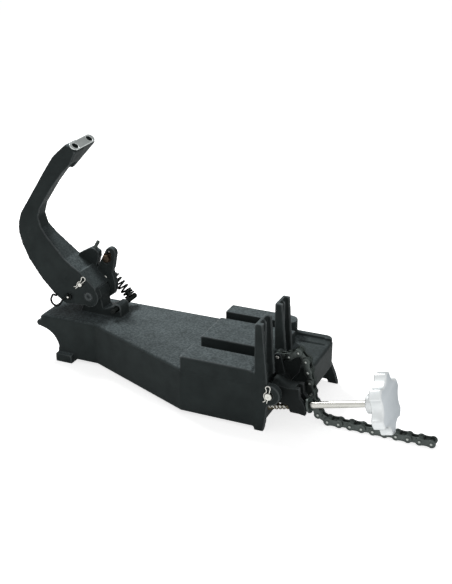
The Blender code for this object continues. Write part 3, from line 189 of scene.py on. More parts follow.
@dataclass(frozen=True)
class Finish:
    """A surface: the shader's plain values, with the detail drawn by each kind of finish."""

    metallic: ClassVar[float]  # 1 for bare metal, 0 for paint
    name: str  # the real material and how it was worked
    colour: str  # an sRGB hex code
    roughness: float  # where nothing varies it

    def material(self) -> bpy.types.Material:
        """Gives the material, made the first time it is asked for.

        Returns:
            The one material of this finish.
        """
        made = bpy.data.materials.get(self.name)
        if made is None:
            made = bpy.data.materials.new(self.name)
            made.use_nodes = True
            shader = made.node_tree.nodes["Principled BSDF"]
            shader.inputs["Base Color"].default_value = linear(self.colour)
            shader.inputs["Metallic"].default_value = self.metallic
            shader.inputs["Roughness"].default_value = self.roughness
            self.detail(made.node_tree, shader)
        return made

    def detail(self, tree: Tree, shader: bpy.types.Node) -> None:
        """Draws the finish's pattern into the shader."""
        raise NotImplementedError

    def grain(self, tree: Tree, size_mm: float, stretch: Triple = EVEN) -> Socket:
        """Noise of a given grain in the piece's own space.

        Args:
            tree: The material's node tree.
            size_mm: The grain's size in millimetres.
            stretch: How much finer it is along each axis.
        Returns:
            The noise's value socket.
        """
        space = add_node(tree, "ShaderNodeTexCoord").outputs["Object"]
        scale = add_node(tree, "ShaderNodeMapping", {"Vector": space, "Scale": stretch})
        noise = add_node(tree, "ShaderNodeTexNoise", {
            "Vector": scale.outputs["Vector"], "Scale": MM_PER_M / size_mm, "Detail": OCTAVES})
        return noise.outputs["Fac"]


@dataclass(frozen=True)
class CastEnamel(Finish):
    """Sand cast iron under semi-gloss enamel: crinkled on top faces, with a painted grey sheen on the
    crinkle's crests, smoother on sides, and pale edges of rubbed wear and painted highlight.
    """

    metallic: ClassVar[float] = 0.0
    painted_sheen_colour: str  # painted sheen on faces that look up: lightens the crinkle's crests, standing for the reflection of the bright surroundings
    edge_wear_and_highlight_colour: str  # of pale edges: rubbed wear and a painted highlight
    crinkle_mm: float  # drawn coarser than the real one so that it shows at this distance
    gloss: float  # the enamel's specular level

    def detail(self, tree: Tree, shader: bpy.types.Node) -> None:
        """A crinkle with a painted sheen on its crests on faces that look up, a fine sand grain all over and
        pale edges of rubbed wear and painted highlight.

        Args:
            tree: The material's node tree.
            shader: Its principled shader.
        """
        space = add_node(tree, "ShaderNodeTexCoord").outputs
        normal = add_node(tree, "ShaderNodeSeparateXYZ", {"Vector": space["Normal"]})
        place = add_node(tree, "ShaderNodeSeparateXYZ", {"Vector": space["Object"]})
        edge = add_node(tree, "ShaderNodeNewGeometry").outputs["Pointiness"]
        upward = ranged(tree, normal.outputs["Z"], UPWARD)
        crinkle = self.grain(tree, self.crinkle_mm)
        # Painted sheen: on faces that look up, the crinkle's crests are lightened toward a paler grey that
        # stands for the reflection of the bright surroundings.
        crests = combined(tree, "MULTIPLY", ranged(tree, crinkle, CREST, CREST_SHARES), upward)
        # The painted sheen on top faces is weaker from the deck to the tray.
        painted_sheen = combined(tree, "MULTIPLY", crests, ranged(tree, place.outputs["X"], SHEEN_FADE_X, SHEEN_SHARES))
        faces = mixed(tree, painted_sheen, linear(self.colour), linear(self.painted_sheen_colour))
        tone = ranged(tree, self.grain(tree, PATCH_MM), MIDDLE, PATCH_TONES)
        toned = add_node(tree, "ShaderNodeVectorMath", {0: faces, "Scale": tone}, operation="SCALE")
        # Pale edges by pointiness: partly rubbed wear, partly a painted highlight.
        edge_wear_and_highlight = ranged(tree, edge, WEAR_AND_HIGHLIGHT_EDGE, WEAR_AND_HIGHLIGHT_SHARES)
        with_wear_and_highlight = mixed(tree, edge_wear_and_highlight, toned.outputs["Vector"], linear(self.edge_wear_and_highlight_colour))
        tree.links.new(with_wear_and_highlight, shader.inputs["Base Color"])
        relief = add_node(tree, "ShaderNodeBump", {
            "Strength": ranged(tree, upward, end=CRINKLE_RELIEF), "Distance": CRINKLE_DEPTH,
            "Height": crinkle})
        fine = add_node(tree, "ShaderNodeBump", {
            "Strength": SAND_RELIEF, "Distance": FINE_DEPTH, "Height": self.grain(tree, SAND_MM),
            "Normal": relief.outputs["Normal"]})
        tree.links.new(fine.outputs["Normal"], shader.inputs["Normal"])
        shader.inputs["Specular IOR Level"].default_value = self.gloss


@dataclass(frozen=True)
class WorkedMetal(Finish):
    """Bare or plated metal with a fine directional or grainy surface."""

    metallic: ClassVar[float] = 1.0
    shade_colour: str  # in the grain's lows
    edge_colour: str  # the tint of what it mirrors at grazing angles
    grain_mm: float
    relief: float  # the bump's strength
    stretch: Triple = EVEN  # how much finer the grain is along each axis

    def detail(self, tree: Tree, shader: bpy.types.Node) -> None:
        """A grain that shifts the colour, the roughness and the surface a little.

        Args:
            tree: The material's node tree.
            shader: Its principled shader.
        """
        shader.inputs["Specular Tint"].default_value = linear(self.edge_colour)
        lines = self.grain(tree, self.grain_mm, self.stretch)
        cloud = self.grain(tree, CLOUD_MM)
        colour = mixed(tree, cloud, linear(self.shade_colour), linear(self.colour))
        rough = ranged(tree, lines, MIDDLE, tuple(self.roughness * share for share in ROUGH_SHARES))
        bump = add_node(tree, "ShaderNodeBump", {
            "Strength": self.relief, "Distance": FINE_DEPTH, "Height": lines})
        for key, value in (("Base Color", colour), ("Roughness", rough), ("Normal", bump.outputs["Normal"])):
            tree.links.new(value, shader.inputs[key])


class Finishes:
    """Every finish on the stand, named for its material and process."""

    # Semi-gloss charcoal enamel over sand cast iron: near black sides, and tops speckled grey by a painted
    # sheen
    enamel = CastEnamel("cast_iron_charcoal_enamel", "#3a4040", 0.46, "#626b6d", "#8e9496", 3.4, 0.015)
    # The same enamel with a far weaker painted sheen and dimmer pale edges: the lever and its hub stay nearly
    # black on top too
    lever_enamel = CastEnamel("lever_charcoal_enamel", "#2a2e2e", 0.42, "#363c3d", "#6a7072", 3.4, 0.04)
    # Turned and drawn bar: bright, with fine lines round the pin
    steel = WorkedMetal("turned_bright_steel", "#d2d2cc", 0.27, "#b8b8b2", "#4e5150", 0.5, 0.06, LATHE)
    # Zinc plate with yellow chromate: warm, cloudy and a little dull
    zinc = WorkedMetal("yellow_zinc_plated_steel", "#6f664f", 0.46, "#4e4636", "#5c564a", 0.9, 0.05)
    # Old yellow zinc gone brown: dull and dark
    aged = WorkedMetal("aged_brown_zinc_plate", "#4a4036", 0.45, "#332c26", "#5a5650", 0.9, 0.06)
    # Oiled dark chain and washer steel: grey with a soft shine
    dark = WorkedMetal("oiled_dark_steel", "#575d5b", 0.42, "#3e4341", "#5a5f5e", 0.8, 0.08)
    # Blackened wire and bar, as of the lift spring and the hook: nearly black with a dull shine
    black = WorkedMetal("blackened_steel_wire", "#2c2f2e", 0.45, "#1e2020", "#4a4d4c", 0.8, 0.06)
    # Tumbled cast aluminium: almost white, matt with a fine grain
    alloy = WorkedMetal("tumbled_cast_aluminium", "#dde0e0", 0.46, "#cdd1d2", "#84898b", 0.7, 0.10)
    # The knob's front face: the rim's aluminium painted greyer as shade, and a little smoother
    shaded_front = WorkedMetal("shaded_front_cast_aluminium", "#ced2d5", 0.40, "#c3c8cb", "#84898b", 0.7, 0.06)
    # Peened ends of the chain's pins: worn grey, brighter than the oiled plates
    peened = WorkedMetal("peened_chain_pin", "#b0b4b0", 0.38, "#8f938f", "#6a6e6c", 0.6, 0.05)
    # Face milled iron: pale grey with fine parallel cutter strokes
    milled = WorkedMetal("face_milled_iron", "#989c9b", 0.42, "#868a89", "#8a8e8d", 1.2, 0.12, CUTTER)
    # The chamfer that the mill left round the pad: brighter than its face
    chamfer = WorkedMetal("bright_milled_chamfer", "#c8cccb", 0.30, "#babebd", "#9a9e9d", 1.2, 0.05, CUTTER)


# Mesh helpers

def ring_points(center: Pair, radius: float, first: float, last: float, count: int) -> Outline:
    """Points on an arc in a plane.

    Args:
        center: The arc's middle.
        radius: Its radius.
        first: Its first angle in degrees.
        last: Its last angle in degrees.
        count: How many points.
    Returns:
        The points from first to last.
    """
    step = (last - first) / max(count - 1, 1)
    angles = [math.radians(first + step * index) for index in range(count)]
    return [(center[0] + radius * math.cos(angle), center[1] + radius * math.sin(angle)) for angle in angles]


def circle(center: Pair, radius: float, count: int = HOLE_SIDES) -> Outline:
    """Points round a full circle."""
    return ring_points(center, radius, 0.0, 360.0 - 360.0 / count, count)


def barrel(radius: float, low: float, high: float, edge: float, bore: float = 0.0) -> Outline:
    """The profile of a turned cylinder or ring with chamfered edges.

    Args:
        radius: Its radius.
        low: Its lower end along the axis.
        high: Its upper end.
        edge: The chamfer.
        bore: The radius of the hole through it, 0 for none.
    Returns:
        The radius and height of each corner.
    """
    return [(bore, low), (radius - edge, low), (radius, low + edge),
            (radius, high - edge), (radius - edge, high), (bore, high)]


def smooth_path(points: Sequence[Vector], steps: int = 4) -> Path:
    """Runs a Catmull-Rom curve through points.

    Args:
        points: The points it passes.
        steps: Pieces between two of them.
    Returns:
        The finer path.
    """
    padded = [points[0] * 2 - points[1], *points, points[-1] * 2 - points[-2]]
    path = []
    for before, start, end, after in zip(padded, padded[1:], padded[2:], padded[3:]):
        bend = 2 * before - 5 * start + 4 * end - after
        swing = 3 * start - before - 3 * end + after
        for step in range(steps):
            t = step / steps
            path.append(0.5 * (2 * start + (end - before) * t + bend * t ** 2 + swing * t ** 3))
    return [*path, points[-1]]


def inset_outline(points: Outline, distance: float) -> Outline:
    """Moves every edge of a counter-clockwise outline inward.

    Args:
        points: The outline.
        distance: How far.
    Returns:
        As many points, where the moved edges meet.
    """
    moved = []
    for before, here, after in zip([points[-1], *points], points, [*points[1:], points[0]]):
        first = (Vector(here) - Vector(before)).orthogonal().normalized()
        second = (Vector(after) - Vector(here)).orthogonal().normalized()
        middle = (first + second).normalized()
        moved.append(tuple(Vector(here) + middle * (distance / max(middle.dot(first), MITRE))))
    return moved


def cut_corners(points: Outline) -> Outline:
    """Rounds an outline by cutting a quarter off both ends of every edge.

    Args:
        points: The outline.
    Returns:
        Twice as many points.
    """
    cut = []
    for here, after in zip(points, [*points[1:], points[0]]):
        start, end = Vector(here), Vector(after)
        cut += [tuple(start.lerp(end, 0.25)), tuple(start.lerp(end, 0.75))]
    return cut


def from_front(x: float, y: float, z: float) -> Vector:
    """A place in the model's frame, from one measured at the front datum."""
    return Vector((x + FRONT_X, y, z))


def polar(radius: float, turn: float, height: float) -> Vector:
    """A point at a radius, a number of turns and a height."""
    angle = 2.0 * math.pi * turn
    return Vector((radius * math.cos(angle), radius * math.sin(angle), height))


def across(x: float, z: float, y: float = 0.0) -> Matrix:
    """A frame at a place in the side view whose Z axis runs along +Y."""
    return Matrix.Translation((x, y, z)) @ Matrix.Rotation(math.radians(-90.0), 4, "X")


def along(origin: Vector, slope: float) -> Matrix:
    """A frame whose Z axis leans up from +X by a slope in degrees, with Y kept."""
    return Matrix.Translation(origin) @ Matrix.Rotation(math.radians(90.0 - slope), 4, "Y")


def add_object(name: str, data: bpy.types.ID) -> bpy.types.Object:
    """Puts a mesh, lamp or camera in the scene.

    Args:
        name: Its name.
        data: The mesh, lamp or camera.
    Returns:
        The new object.
    """
    made = bpy.data.objects.new(name, data)
    bpy.context.scene.collection.objects.link(made)
    return made


class Shape:
    """Collects the surface of one piece."""

    def __init__(self, name: str) -> None:
        """Starts an empty piece.

        Args:
            name: The name of its mesh.
        """
        self.name = name
        self.surface = bmesh.new()
        self.finish_index = 0

    def ring(self, points: Sequence[Vector]) -> list[bmesh.types.BMVert]:
        """Adds a ring of points."""
        return [self.surface.verts.new(point) for point in points]

    def skin(self, rings: list[list], closed: bool = False) -> None:
        """Closes the bands between rings, any of which may be a single point.

        Args:
            rings: The rings in order.
            closed: True where the last ring meets the first.
        """
        for low, high in zip(rings, rings[1:] + rings[:1] if closed else rings[1:]):
            for index in range(max(len(low), len(high))):
                after = index + 1
                corners = [low[index % len(low)], low[after % len(low)],
                           high[after % len(high)], high[index % len(high)]]
                face = self.surface.faces.new(list(dict.fromkeys(corners)))
                face.material_index = self.finish_index

    def turned(self, profile: Outline, place: Matrix, sides: int = 40, closed: bool = False) -> None:
        """Adds a solid of revolution.

        Args:
            profile: Radius and height along its axis, end to end.
            place: The frame whose Z axis it turns about.
            sides: Points round it.
            closed: True where the profile is a closed loop off the axis.
        """
        rings = []
        for radius, height in profile:
            points = range(sides if radius > HAIR else 1)
            rings.append(self.ring([place @ polar(radius, index / sides, height) for index in points]))
        self.skin(rings, closed)

    def threaded(self, radius: float, depth: float, pitch: float, reach: Pair, place: Matrix,
                 sides: int = 20, rows: int = 6) -> None:
        """Adds a threaded rod with plain chamfered ends.

        Args:
            radius: The crest's radius.
            depth: The thread's depth.
            pitch: The thread's pitch.
            reach: Its two ends along the axis.
            place: The frame whose Z axis it runs on.
            sides: Points round it.
            rows: Rings in each turn.
        """
        start, end = reach
        count = max(int((end - start) / pitch * rows), 2)
        rings = [self.ring([place @ Vector((0.0, 0.0, start))])]
        for row in range(count + 1):
            height = start + (end - start) * row / count
            fade = min(1.0, 2.0 * min(row, count - row) / rows)
            ring = []
            for turn in (index / sides for index in range(sides)):
                wave = abs(2.0 * ((height / pitch - turn) % 1.0) - 1.0)
                ring.append(place @ polar(radius - depth * (wave * fade + (1.0 - fade)), turn, height))
            rings.append(self.ring(ring))
        rings.append(self.ring([place @ Vector((0.0, 0.0, end))]))
        self.skin(rings)

    def tube(self, path: Path, radius: float, sides: int = 12) -> None:
        """Adds a round wire along a path, with rounded ends.

        Args:
            path: The wire's middle line.
            radius: The wire's radius.
            sides: Points round it.
        """
        side = None
        rings = []
        last = len(path) - 1
        ends = {0: [(share, -bulge) for share, bulge in WIRE_END], last: WIRE_END[::-1]}
        for index, point in enumerate(path):
            way = (path[min(index + 1, last)] - path[max(index - 1, 0)]).normalized()
            side = way.orthogonal() if side is None else side - way * side.dot(way)
            side.normalize()
            other = way.cross(side)
            for share, bulge in ends.get(index, WIRE_END[-1:]):
                middle = point + way * radius * WIRE_BULGE * bulge
                turns = range(sides if share > HAIR else 1)
                spokes = [polar(radius * share, step / sides, 0.0) for step in turns]
                rings.append(self.ring([middle + side * spoke.x + other * spoke.y for spoke in spokes]))
        self.skin(rings)

    def plate(self, outline: Outline, thickness: float, bevel: float, place: Matrix, segments: int = 2,
              softer: int = 0) -> None:
        """Adds a flat plate without holes, with rounded edges and corners.

        Args:
            outline: The plate's edge, counter-clockwise.
            thickness: Its whole thickness.
            bevel: The rounding of its edges.
            place: The frame of its middle plane.
            segments: Steps in the rounding.
            softer: How often the outline's corners are cut.
        """
        levels = []
        for step in range(segments + 1):
            turn = math.radians(90.0 * step / segments)
            levels.append((bevel * (1.0 - math.sin(turn)), bevel * (1.0 - math.cos(turn)) - thickness / 2))
        levels += [(inset, -height) for inset, height in reversed(levels)]
        rings = []
        for inset, height in levels:
            edge = inset_outline(outline, inset)
            for _ in range(softer):
                edge = cut_corners(edge)
            rings.append(self.ring([place @ Vector((x, y, height)) for x, y in edge]))
        self.skin(rings)
        for cap in (rings[0], rings[-1]):
            self.surface.faces.new(cap).material_index = self.finish_index

    def slab(self, outlines: Sequence[Outline], thickness: float, bevel: float, place: Matrix,
             segments: int = 2) -> None:
        """Adds a flat plate with holes and rounded edges.

        Args:
            outlines: The plate's edge, then its holes.
            thickness: Its whole thickness.
            bevel: The rounding of its edges.
            place: The frame of its middle plane.
            segments: Steps in the rounding.
        """
        curve = bpy.data.curves.new(self.name + "_outline", "CURVE")
        curve.dimensions = "2D"
        curve.fill_mode = "BOTH"
        curve.extrude = thickness / 2 - bevel
        curve.bevel_depth = bevel
        curve.bevel_resolution = segments
        curve.offset = -bevel
        for outline in outlines:
            spline = curve.splines.new("POLY")
            spline.points.add(len(outline) - 1)
            spline.use_cyclic_u = True
            for point, (x, y) in zip(spline.points, outline):
                point.co = (x, y, 0.0, 1.0)
        holder = bpy.data.objects.new(self.name + "_outline", curve)
        mesh = bpy.data.meshes.new_from_object(holder)
        mesh.transform(place)
        first = len(self.surface.faces)
        self.surface.from_mesh(mesh)
        self.surface.faces.ensure_lookup_table()
        for face in self.surface.faces[first:]:
            face.material_index = self.finish_index
        bpy.data.objects.remove(holder)
        bpy.data.curves.remove(curve)
        bpy.data.meshes.remove(mesh)

    def mesh(self, *finishes: Finish, sharp: float = 38.0) -> bpy.types.Mesh:
        """Closes the piece and gives its mesh.

        Args:
            finishes: The finishes of its faces, by number.
            sharp: The angle in degrees past which an edge stays sharp.
        Returns:
            The welded mesh with its normals outward.
        """
        bmesh.ops.remove_doubles(self.surface, verts=self.surface.verts, dist=WELD)
        bmesh.ops.recalc_face_normals(self.surface, faces=self.surface.faces)
        made = bpy.data.meshes.new(self.name)
        self.surface.to_mesh(made)
        self.surface.free()
        made.shade_smooth()
        made.set_sharp_from_angle(angle=math.radians(sharp))
        for finish in finishes:
            made.materials.append(finish.material())
        return made


class Assembly:
    """A group of pieces that are built together."""

    def place(self, name: str, mesh: bpy.types.Mesh, body: Body, slot: Slot, *nodes: str,
              at: Matrix | None = None) -> bpy.types.Object:
        """Puts a piece in the scene and ties it to the frame.

        Args:
            name: The piece's name.
            mesh: Its mesh.
            body: The body it moves with.
            slot: The record's material slot; not used.
            nodes: The solids it stands for.
            at: Its place, where the mesh isn't made in place.
        Returns:
            The piece.
        """
        piece = add_object(name, mesh)
        if at is not None:
            piece.matrix_world = at
        bpy.context.view_layer.update()
        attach(piece, body.value)
        if nodes:
            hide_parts(*nodes)
        LOG.info("%s: %d faces on %s", name, len(mesh.polygons), body.value)
        return piece

    def put(self, shape: Shape, finish: Finish, body: Body, slot: Slot, node: str) -> bpy.types.Object:
        """Closes a shape of one finish and places it for one solid."""
        return self.place(shape.name, shape.mesh(finish), body, slot, node)


# Castings

@dataclass
class Casting(Assembly):
    """One casting: the solid's faces with rounded edges and corners, as sand moulds leave them."""

    node: str  # the solid it stands for
    body: Body  # the body it moves with
    voxel: float  # the step of its new surface in metres
    rounds: int  # how often the surface is softened
    share: float  # of the faces that is kept
    finish: Finish = Finishes.enamel

    def build(self) -> None:
        """Copies the solid, rounds its edges and puts the casting in its place."""
        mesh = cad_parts[self.node].data.copy()
        mesh.materials.clear()
        holder = add_object(self.node + "_raw", mesh)
        holder.modifiers.new("weld", "WELD").merge_threshold = WELD * 10
        remesh = holder.modifiers.new("surface", "REMESH")
        remesh.mode = "VOXEL"
        remesh.voxel_size = self.voxel
        soften = holder.modifiers.new("soften", "SMOOTH")
        soften.factor = SOFTEN
        soften.iterations = self.rounds
        holder.modifiers.new("thin", "DECIMATE").ratio = self.share
        graph = bpy.context.evaluated_depsgraph_get()
        made = bpy.data.meshes.new_from_object(holder.evaluated_get(graph))
        bpy.data.objects.remove(holder)
        bpy.data.meshes.remove(mesh)
        made.shade_smooth()
        made.materials.clear()
        made.materials.append(self.finish.material())
        self.place(self.node + "_cast", made, self.body, Slot.PAINT, self.node)


@dataclass
class SawPad(Assembly):
    """The milled face of the saw pad at the arm's end."""

    place_at: Triple = (-0.410, 0.0625, 0.3915)  # the face's middle, from the front datum
    tilt: float = 34.0  # degrees that it leans forward
    roll: float = 4.0  # degrees that its far end rises
    length: float = 0.0680  # across the stand
    width: float = 0.0175
    hole_radius: float = 0.0061
    hole_spacing: float = 0.0435
    border: float = 0.0012  # the bright chamfer round its edge and its holes
    thickness: float = 0.0016  # of the milled skin as drawn

    def build(self) -> None:
        """A plate with round ends and two holes, and a brighter chamfer round its edge and its holes."""
        at = Matrix.Translation(from_front(*self.place_at)) @ Matrix.Rotation(math.radians(self.tilt), 4, "Y")
        at @= Matrix.Rotation(math.radians(self.roll), 4, "X")
        shape = Shape("saw_pad_face")
        chamfer = (1, 0.0, EDGE_ROUND, 0.0)
        face = (0, self.border, EDGE_ROUND / 4, FACE_STEP)
        for finish, inset, rounding, step in (chamfer, face):
            shape.finish_index = finish
            level = at @ Matrix.Translation((0.0, 0.0, step - self.thickness / 4))
            shape.slab([self.edge(inset), *self.holes(inset)], self.thickness, rounding, level)
        self.place("saw_pad_face", shape.mesh(Finishes.milled, Finishes.chamfer), Body.ARM, Slot.STEEL)

    def edge(self, inset: float) -> Outline:
        """The pad's outline, moved inward.

        Args:
            inset: How far.
        Returns:
            Two half circles, end to end.
        """
        radius = self.width / 2 - inset
        half = (self.length - self.width) / 2
        return [*ring_points((0.0, half), radius, 0.0, 180.0, count=20),
                *ring_points((0.0, -half), radius, 180.0, 360.0, count=20)]

    def holes(self, widen: float) -> list[Outline]:
        """The two holes, widened."""
        return [circle((0.0, side * self.hole_spacing / 2), self.hole_radius + widen) for side in (-1, 1)]


# Pins, clips and springs

@dataclass
class TurnedPin(Assembly):
    """A turned pin across the stand, with chamfered and centre drilled ends."""

    node: str
    body: Body
    chamfer: float = 0.0008
    center: float = 0.28  # the centre drilling's radius, as a share of the pin's
    finish: Finish = Finishes.steel
    slot: Slot = Slot.STEEL

    def build(self) -> None:
        """Turns the pin where its solid is."""
        low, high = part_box(self.node)
        radius = (high.z - low.z) / 2
        length = high.y - low.y
        drill = radius * self.center
        outside = barrel(radius, 0.0, length, self.chamfer)[1:-1]
        profile = [(0.0, drill), (drill, 0.0), *outside, (drill, length), (0.0, length - drill)]
        shape = Shape(self.node + "_turned")
        shape.turned(profile, across((low.x + high.x) / 2, (low.z + high.z) / 2, low.y))
        self.put(shape, self.finish, self.body, self.slot, self.node)


@dataclass
class WireClip(Assembly):
    """An R-clip of spring wire through a pin."""

    node: str
    body: Body
    pin: Pair  # the pin's place in the side view, from the front datum
    y: float  # the clip's plane
    pin_radius: float
    turn: float  # degrees that the straight leg rises toward the loop
    wire: float = 0.0018  # the wire's diameter
    leg: float = 0.0130  # the straight leg's reach on each side of the pin
    loop: float = 0.0039  # the loop's radius
    loop_arc: Pair = (-75.0, 150.0)  # the loop's first and last angle
    hug_arc: Pair = (40.0, 140.0)  # the sprung leg's arc round the pin
    bend: Pair = (0.95, 1.05)  # the straight leg's end and the loop's middle, as shares of the leg
    # The sprung leg's last points, as shares of the leg and of the way round the pin
    tail: tuple = ((-0.75, 0.42), (-1.0, 0.8))

    def build(self) -> None:
        """Bends the wire: straight leg, loop, and the leg that springs round the pin."""
        outside = self.pin_radius + self.wire
        straight, middle = (self.leg * share for share in self.bend)
        flat = [(-self.leg, 0.0), (0.0, 0.0), (straight, 0.0)]
        flat += ring_points((middle, self.loop), self.loop, *self.loop_arc, count=9)
        flat += ring_points((0.0, 0.0), outside, *self.hug_arc, count=6)
        flat += [(self.leg * reach, outside * rise) for reach, rise in self.tail]
        turn = Matrix.Rotation(math.radians(self.turn), 2)
        points = []
        for x, z in (turn @ Vector(point) for point in flat):
            points.append(from_front(self.pin[0] + x, self.y, self.pin[1] + z))
        shape = Shape(self.node + "_wire")
        shape.tube(smooth_path(points), self.wire / 2)
        self.put(shape, Finishes.steel, self.body, Slot.STEEL, self.node)


@dataclass
class CoilSpring(Assembly):
    """A compression spring with closed end turns."""

    node: str
    body: Body  # the one its fixed end is on
    joint: str  # the joint that presses it
    origin: Vector  # the start of its axis, in the model's frame
    slope: float  # degrees that its axis rises from +X
    reach: Pair  # its wire's ends along the axis
    radius: float
    wire: float  # the wire's diameter
    turns: int
    keep: float  # the share of its length left at the joint's limit
    slot: Slot
    finish: Finish

    def build(self) -> None:
        """Winds the wire and gives the piece a mesh of its own."""
        steps = self.turns * COIL_STEPS
        low, high = self.reach
        place = along(self.origin, self.slope)
        path = []
        for turn in (self.turns * step / steps for step in range(steps + 1)):
            path.append(place @ polar(self.radius, turn, low + (high - low) * self.rise(turn)))
        shape = Shape(self.node + "_coil")
        shape.tube(path, self.wire / 2)
        piece = self.put(shape, self.finish, self.body, self.slot, self.node)
        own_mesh(piece)

    def rise(self, turn: float) -> float:
        """The share of the length reached after some turns: close at both ends and open between them.

        Args:
            turn: How many turns.
        Returns:
            The share, from 0 to 1.
        """
        closed = self.wire / (self.reach[1] - self.reach[0])
        opened = (1.0 - 2.0 * closed) / (self.turns - 2.0)
        if turn < 1.0:
            return closed * turn
        if turn > self.turns - 1.0:
            return 1.0 - closed * (self.turns - turn)
        return closed + opened * (turn - 1.0)


@dataclass
class LiftSpring(Assembly):
    """The arm's lift spring on its bar, with the seat under it."""

    bar: Pair = (-0.340, 0.101)  # the bar's place in the side view, from the front datum
    pin: Pair = (-0.381, 0.143)  # the arm's spring pin
    y: float = 0.087  # the spring's plane
    # Its radius, its low and high end, its spigot's radius and end
    seat: tuple[float, float, float, float, float] = (0.0105, 0.0053, 0.0083, 0.0055, 0.0153)

    def build(self) -> None:
        """The seat and the coil."""
        slope = math.degrees(math.atan2(self.pin[1] - self.bar[1], self.pin[0] - self.bar[0]))
        origin = from_front(self.bar[0], self.y, self.bar[1])
        radius, low, top, spigot, end = self.seat
        edge = TURNED_EDGE
        profile = [*barrel(radius, low, top, edge)[:-1], (spigot + edge, top), (spigot, top + edge),
                   (spigot, end - 2 * edge), (spigot - 2 * edge, end), (0.0, end)]
        shape = Shape("spring_seat_turned")
        shape.turned(profile, along(origin, slope))
        self.put(shape, Finishes.black, Body.BASE, Slot.DARK, "spring_seat")
        CoilSpring("lift_spring", Body.BASE, "arm_hinge", origin, slope, reach=(0.0104, 0.0526),
                   radius=0.0085, wire=0.0036, turns=6, keep=0.50, slot=Slot.DARK,
                   finish=Finishes.black).build()


@dataclass
class TieHook(Assembly):
    """The bent wire hook that ties the arm down."""

    pin: Pair = (-0.4285, 0.1168)  # its pin's place in the side view, from the front datum
    y: float = 0.0118  # the hook's plane
    wire: float = 0.0038  # the wire's diameter
    eye: float = 0.0043  # the eye's radius at the wire's middle
    eye_arc: Pair = (40.0, -250.0)  # the eye's first and last angle
    shank: tuple = ((-0.0120, -0.0065), (-0.0190, -0.0165))  # the points from the eye to the bow
    bow: Pair = (-0.0288, -0.0126)  # the bow's middle
    bow_radius: float = 0.0098
    bow_arc: Pair = (-40.0, -215.0)  # the bow's first and last angle
    tip: tuple = ((-0.0330, -0.0010), (-0.0265, -0.0025))  # the last points

    def build(self) -> None:
        """Bends the hook."""
        flat = [*ring_points((0.0, 0.0), self.eye, *self.eye_arc, count=14), *self.shank,
                *ring_points(self.bow, self.bow_radius, *self.bow_arc, count=8), *self.tip]
        points = [from_front(self.pin[0] + x, self.y, self.pin[1] + z) for x, z in flat]
        shape = Shape("tie_hook_wire")
        shape.tube(smooth_path(points), self.wire / 2)
        self.put(shape, Finishes.black, Body.HOOK, Slot.DARK, "tie_hook")


@dataclass
class SlotBolt(Assembly):
    """The bolt in the far lug's slot, with its washer and nut, and the stop rod beside it."""

    radius: float = 0.004
    flats: float = 0.013  # the head's width across flats
    edge: float = 0.0006  # the rounding of the hexagons' edges
    rim: float = 0.0003  # the washer's chamfer and the play round the bolt
    pitch: float = 0.00125  # the thread's pitch
    depth: float = 0.0006  # the thread's depth
    rod_foot: Triple = (-0.4070, 0.068, 0.1871)  # the stop rod's foot, from the front datum
    rod_tip: Triple = (-0.3931, 0.068, 0.2099)
    rod_radius: float = 0.0034
    rod_pitch: float = 0.0010
    rod_depth: float = 0.0004

    def build(self) -> None:
        """The bolt, washer, nut and rod."""
        boxes = [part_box(node) for node in ("slot_bolt", "slot_washer", "slot_nut")]
        (low, high), (washer_low, washer_high), (nut_low, nut_high) = boxes
        x, z = (low.x + high.x) / 2, (low.z + high.z) / 2
        head = nut_high.y - nut_low.y
        hexagon = circle((0.0, 0.0), self.flats / math.sqrt(3.0), 6)
        bolt = Shape("slot_bolt_forged")
        bolt.plate(hexagon, head, self.edge, across(x, z, low.y + head / 2))
        bolt.threaded(self.radius, self.depth, self.pitch, (low.y + head / 2, high.y), across(x, z))
        bore = self.radius + self.rim
        outer = (washer_high.x - washer_low.x) / 2
        ring = barrel(outer, 0.0, washer_high.y - washer_low.y, self.rim, bore)
        washer = Shape("slot_washer_stamped")
        washer.turned(ring, across(x, z, washer_low.y), closed=True)
        hole = circle((0.0, 0.0), bore)
        nut = Shape("slot_nut_forged")
        nut.slab([hexagon, hole], head, self.edge, across(x, z, (nut_low.y + nut_high.y) / 2))
        for shape, node in ((bolt, "slot_bolt"), (washer, "slot_washer"), (nut, "slot_nut")):
            self.put(shape, Finishes.aged, Body.ARM, Slot.ZINC, node)
        foot = from_front(*self.rod_foot)
        way = from_front(*self.rod_tip) - foot
        place = along(foot, math.degrees(math.atan2(way.z, way.x)))
        rod = Shape("stop_rod_threaded")
        rod.threaded(self.rod_radius, self.rod_depth, self.rod_pitch, (0.0, way.length), place, sides=16)
        self.put(rod, Finishes.dark, Body.ARM, Slot.DARK, "stop_rod")


# Chain vise

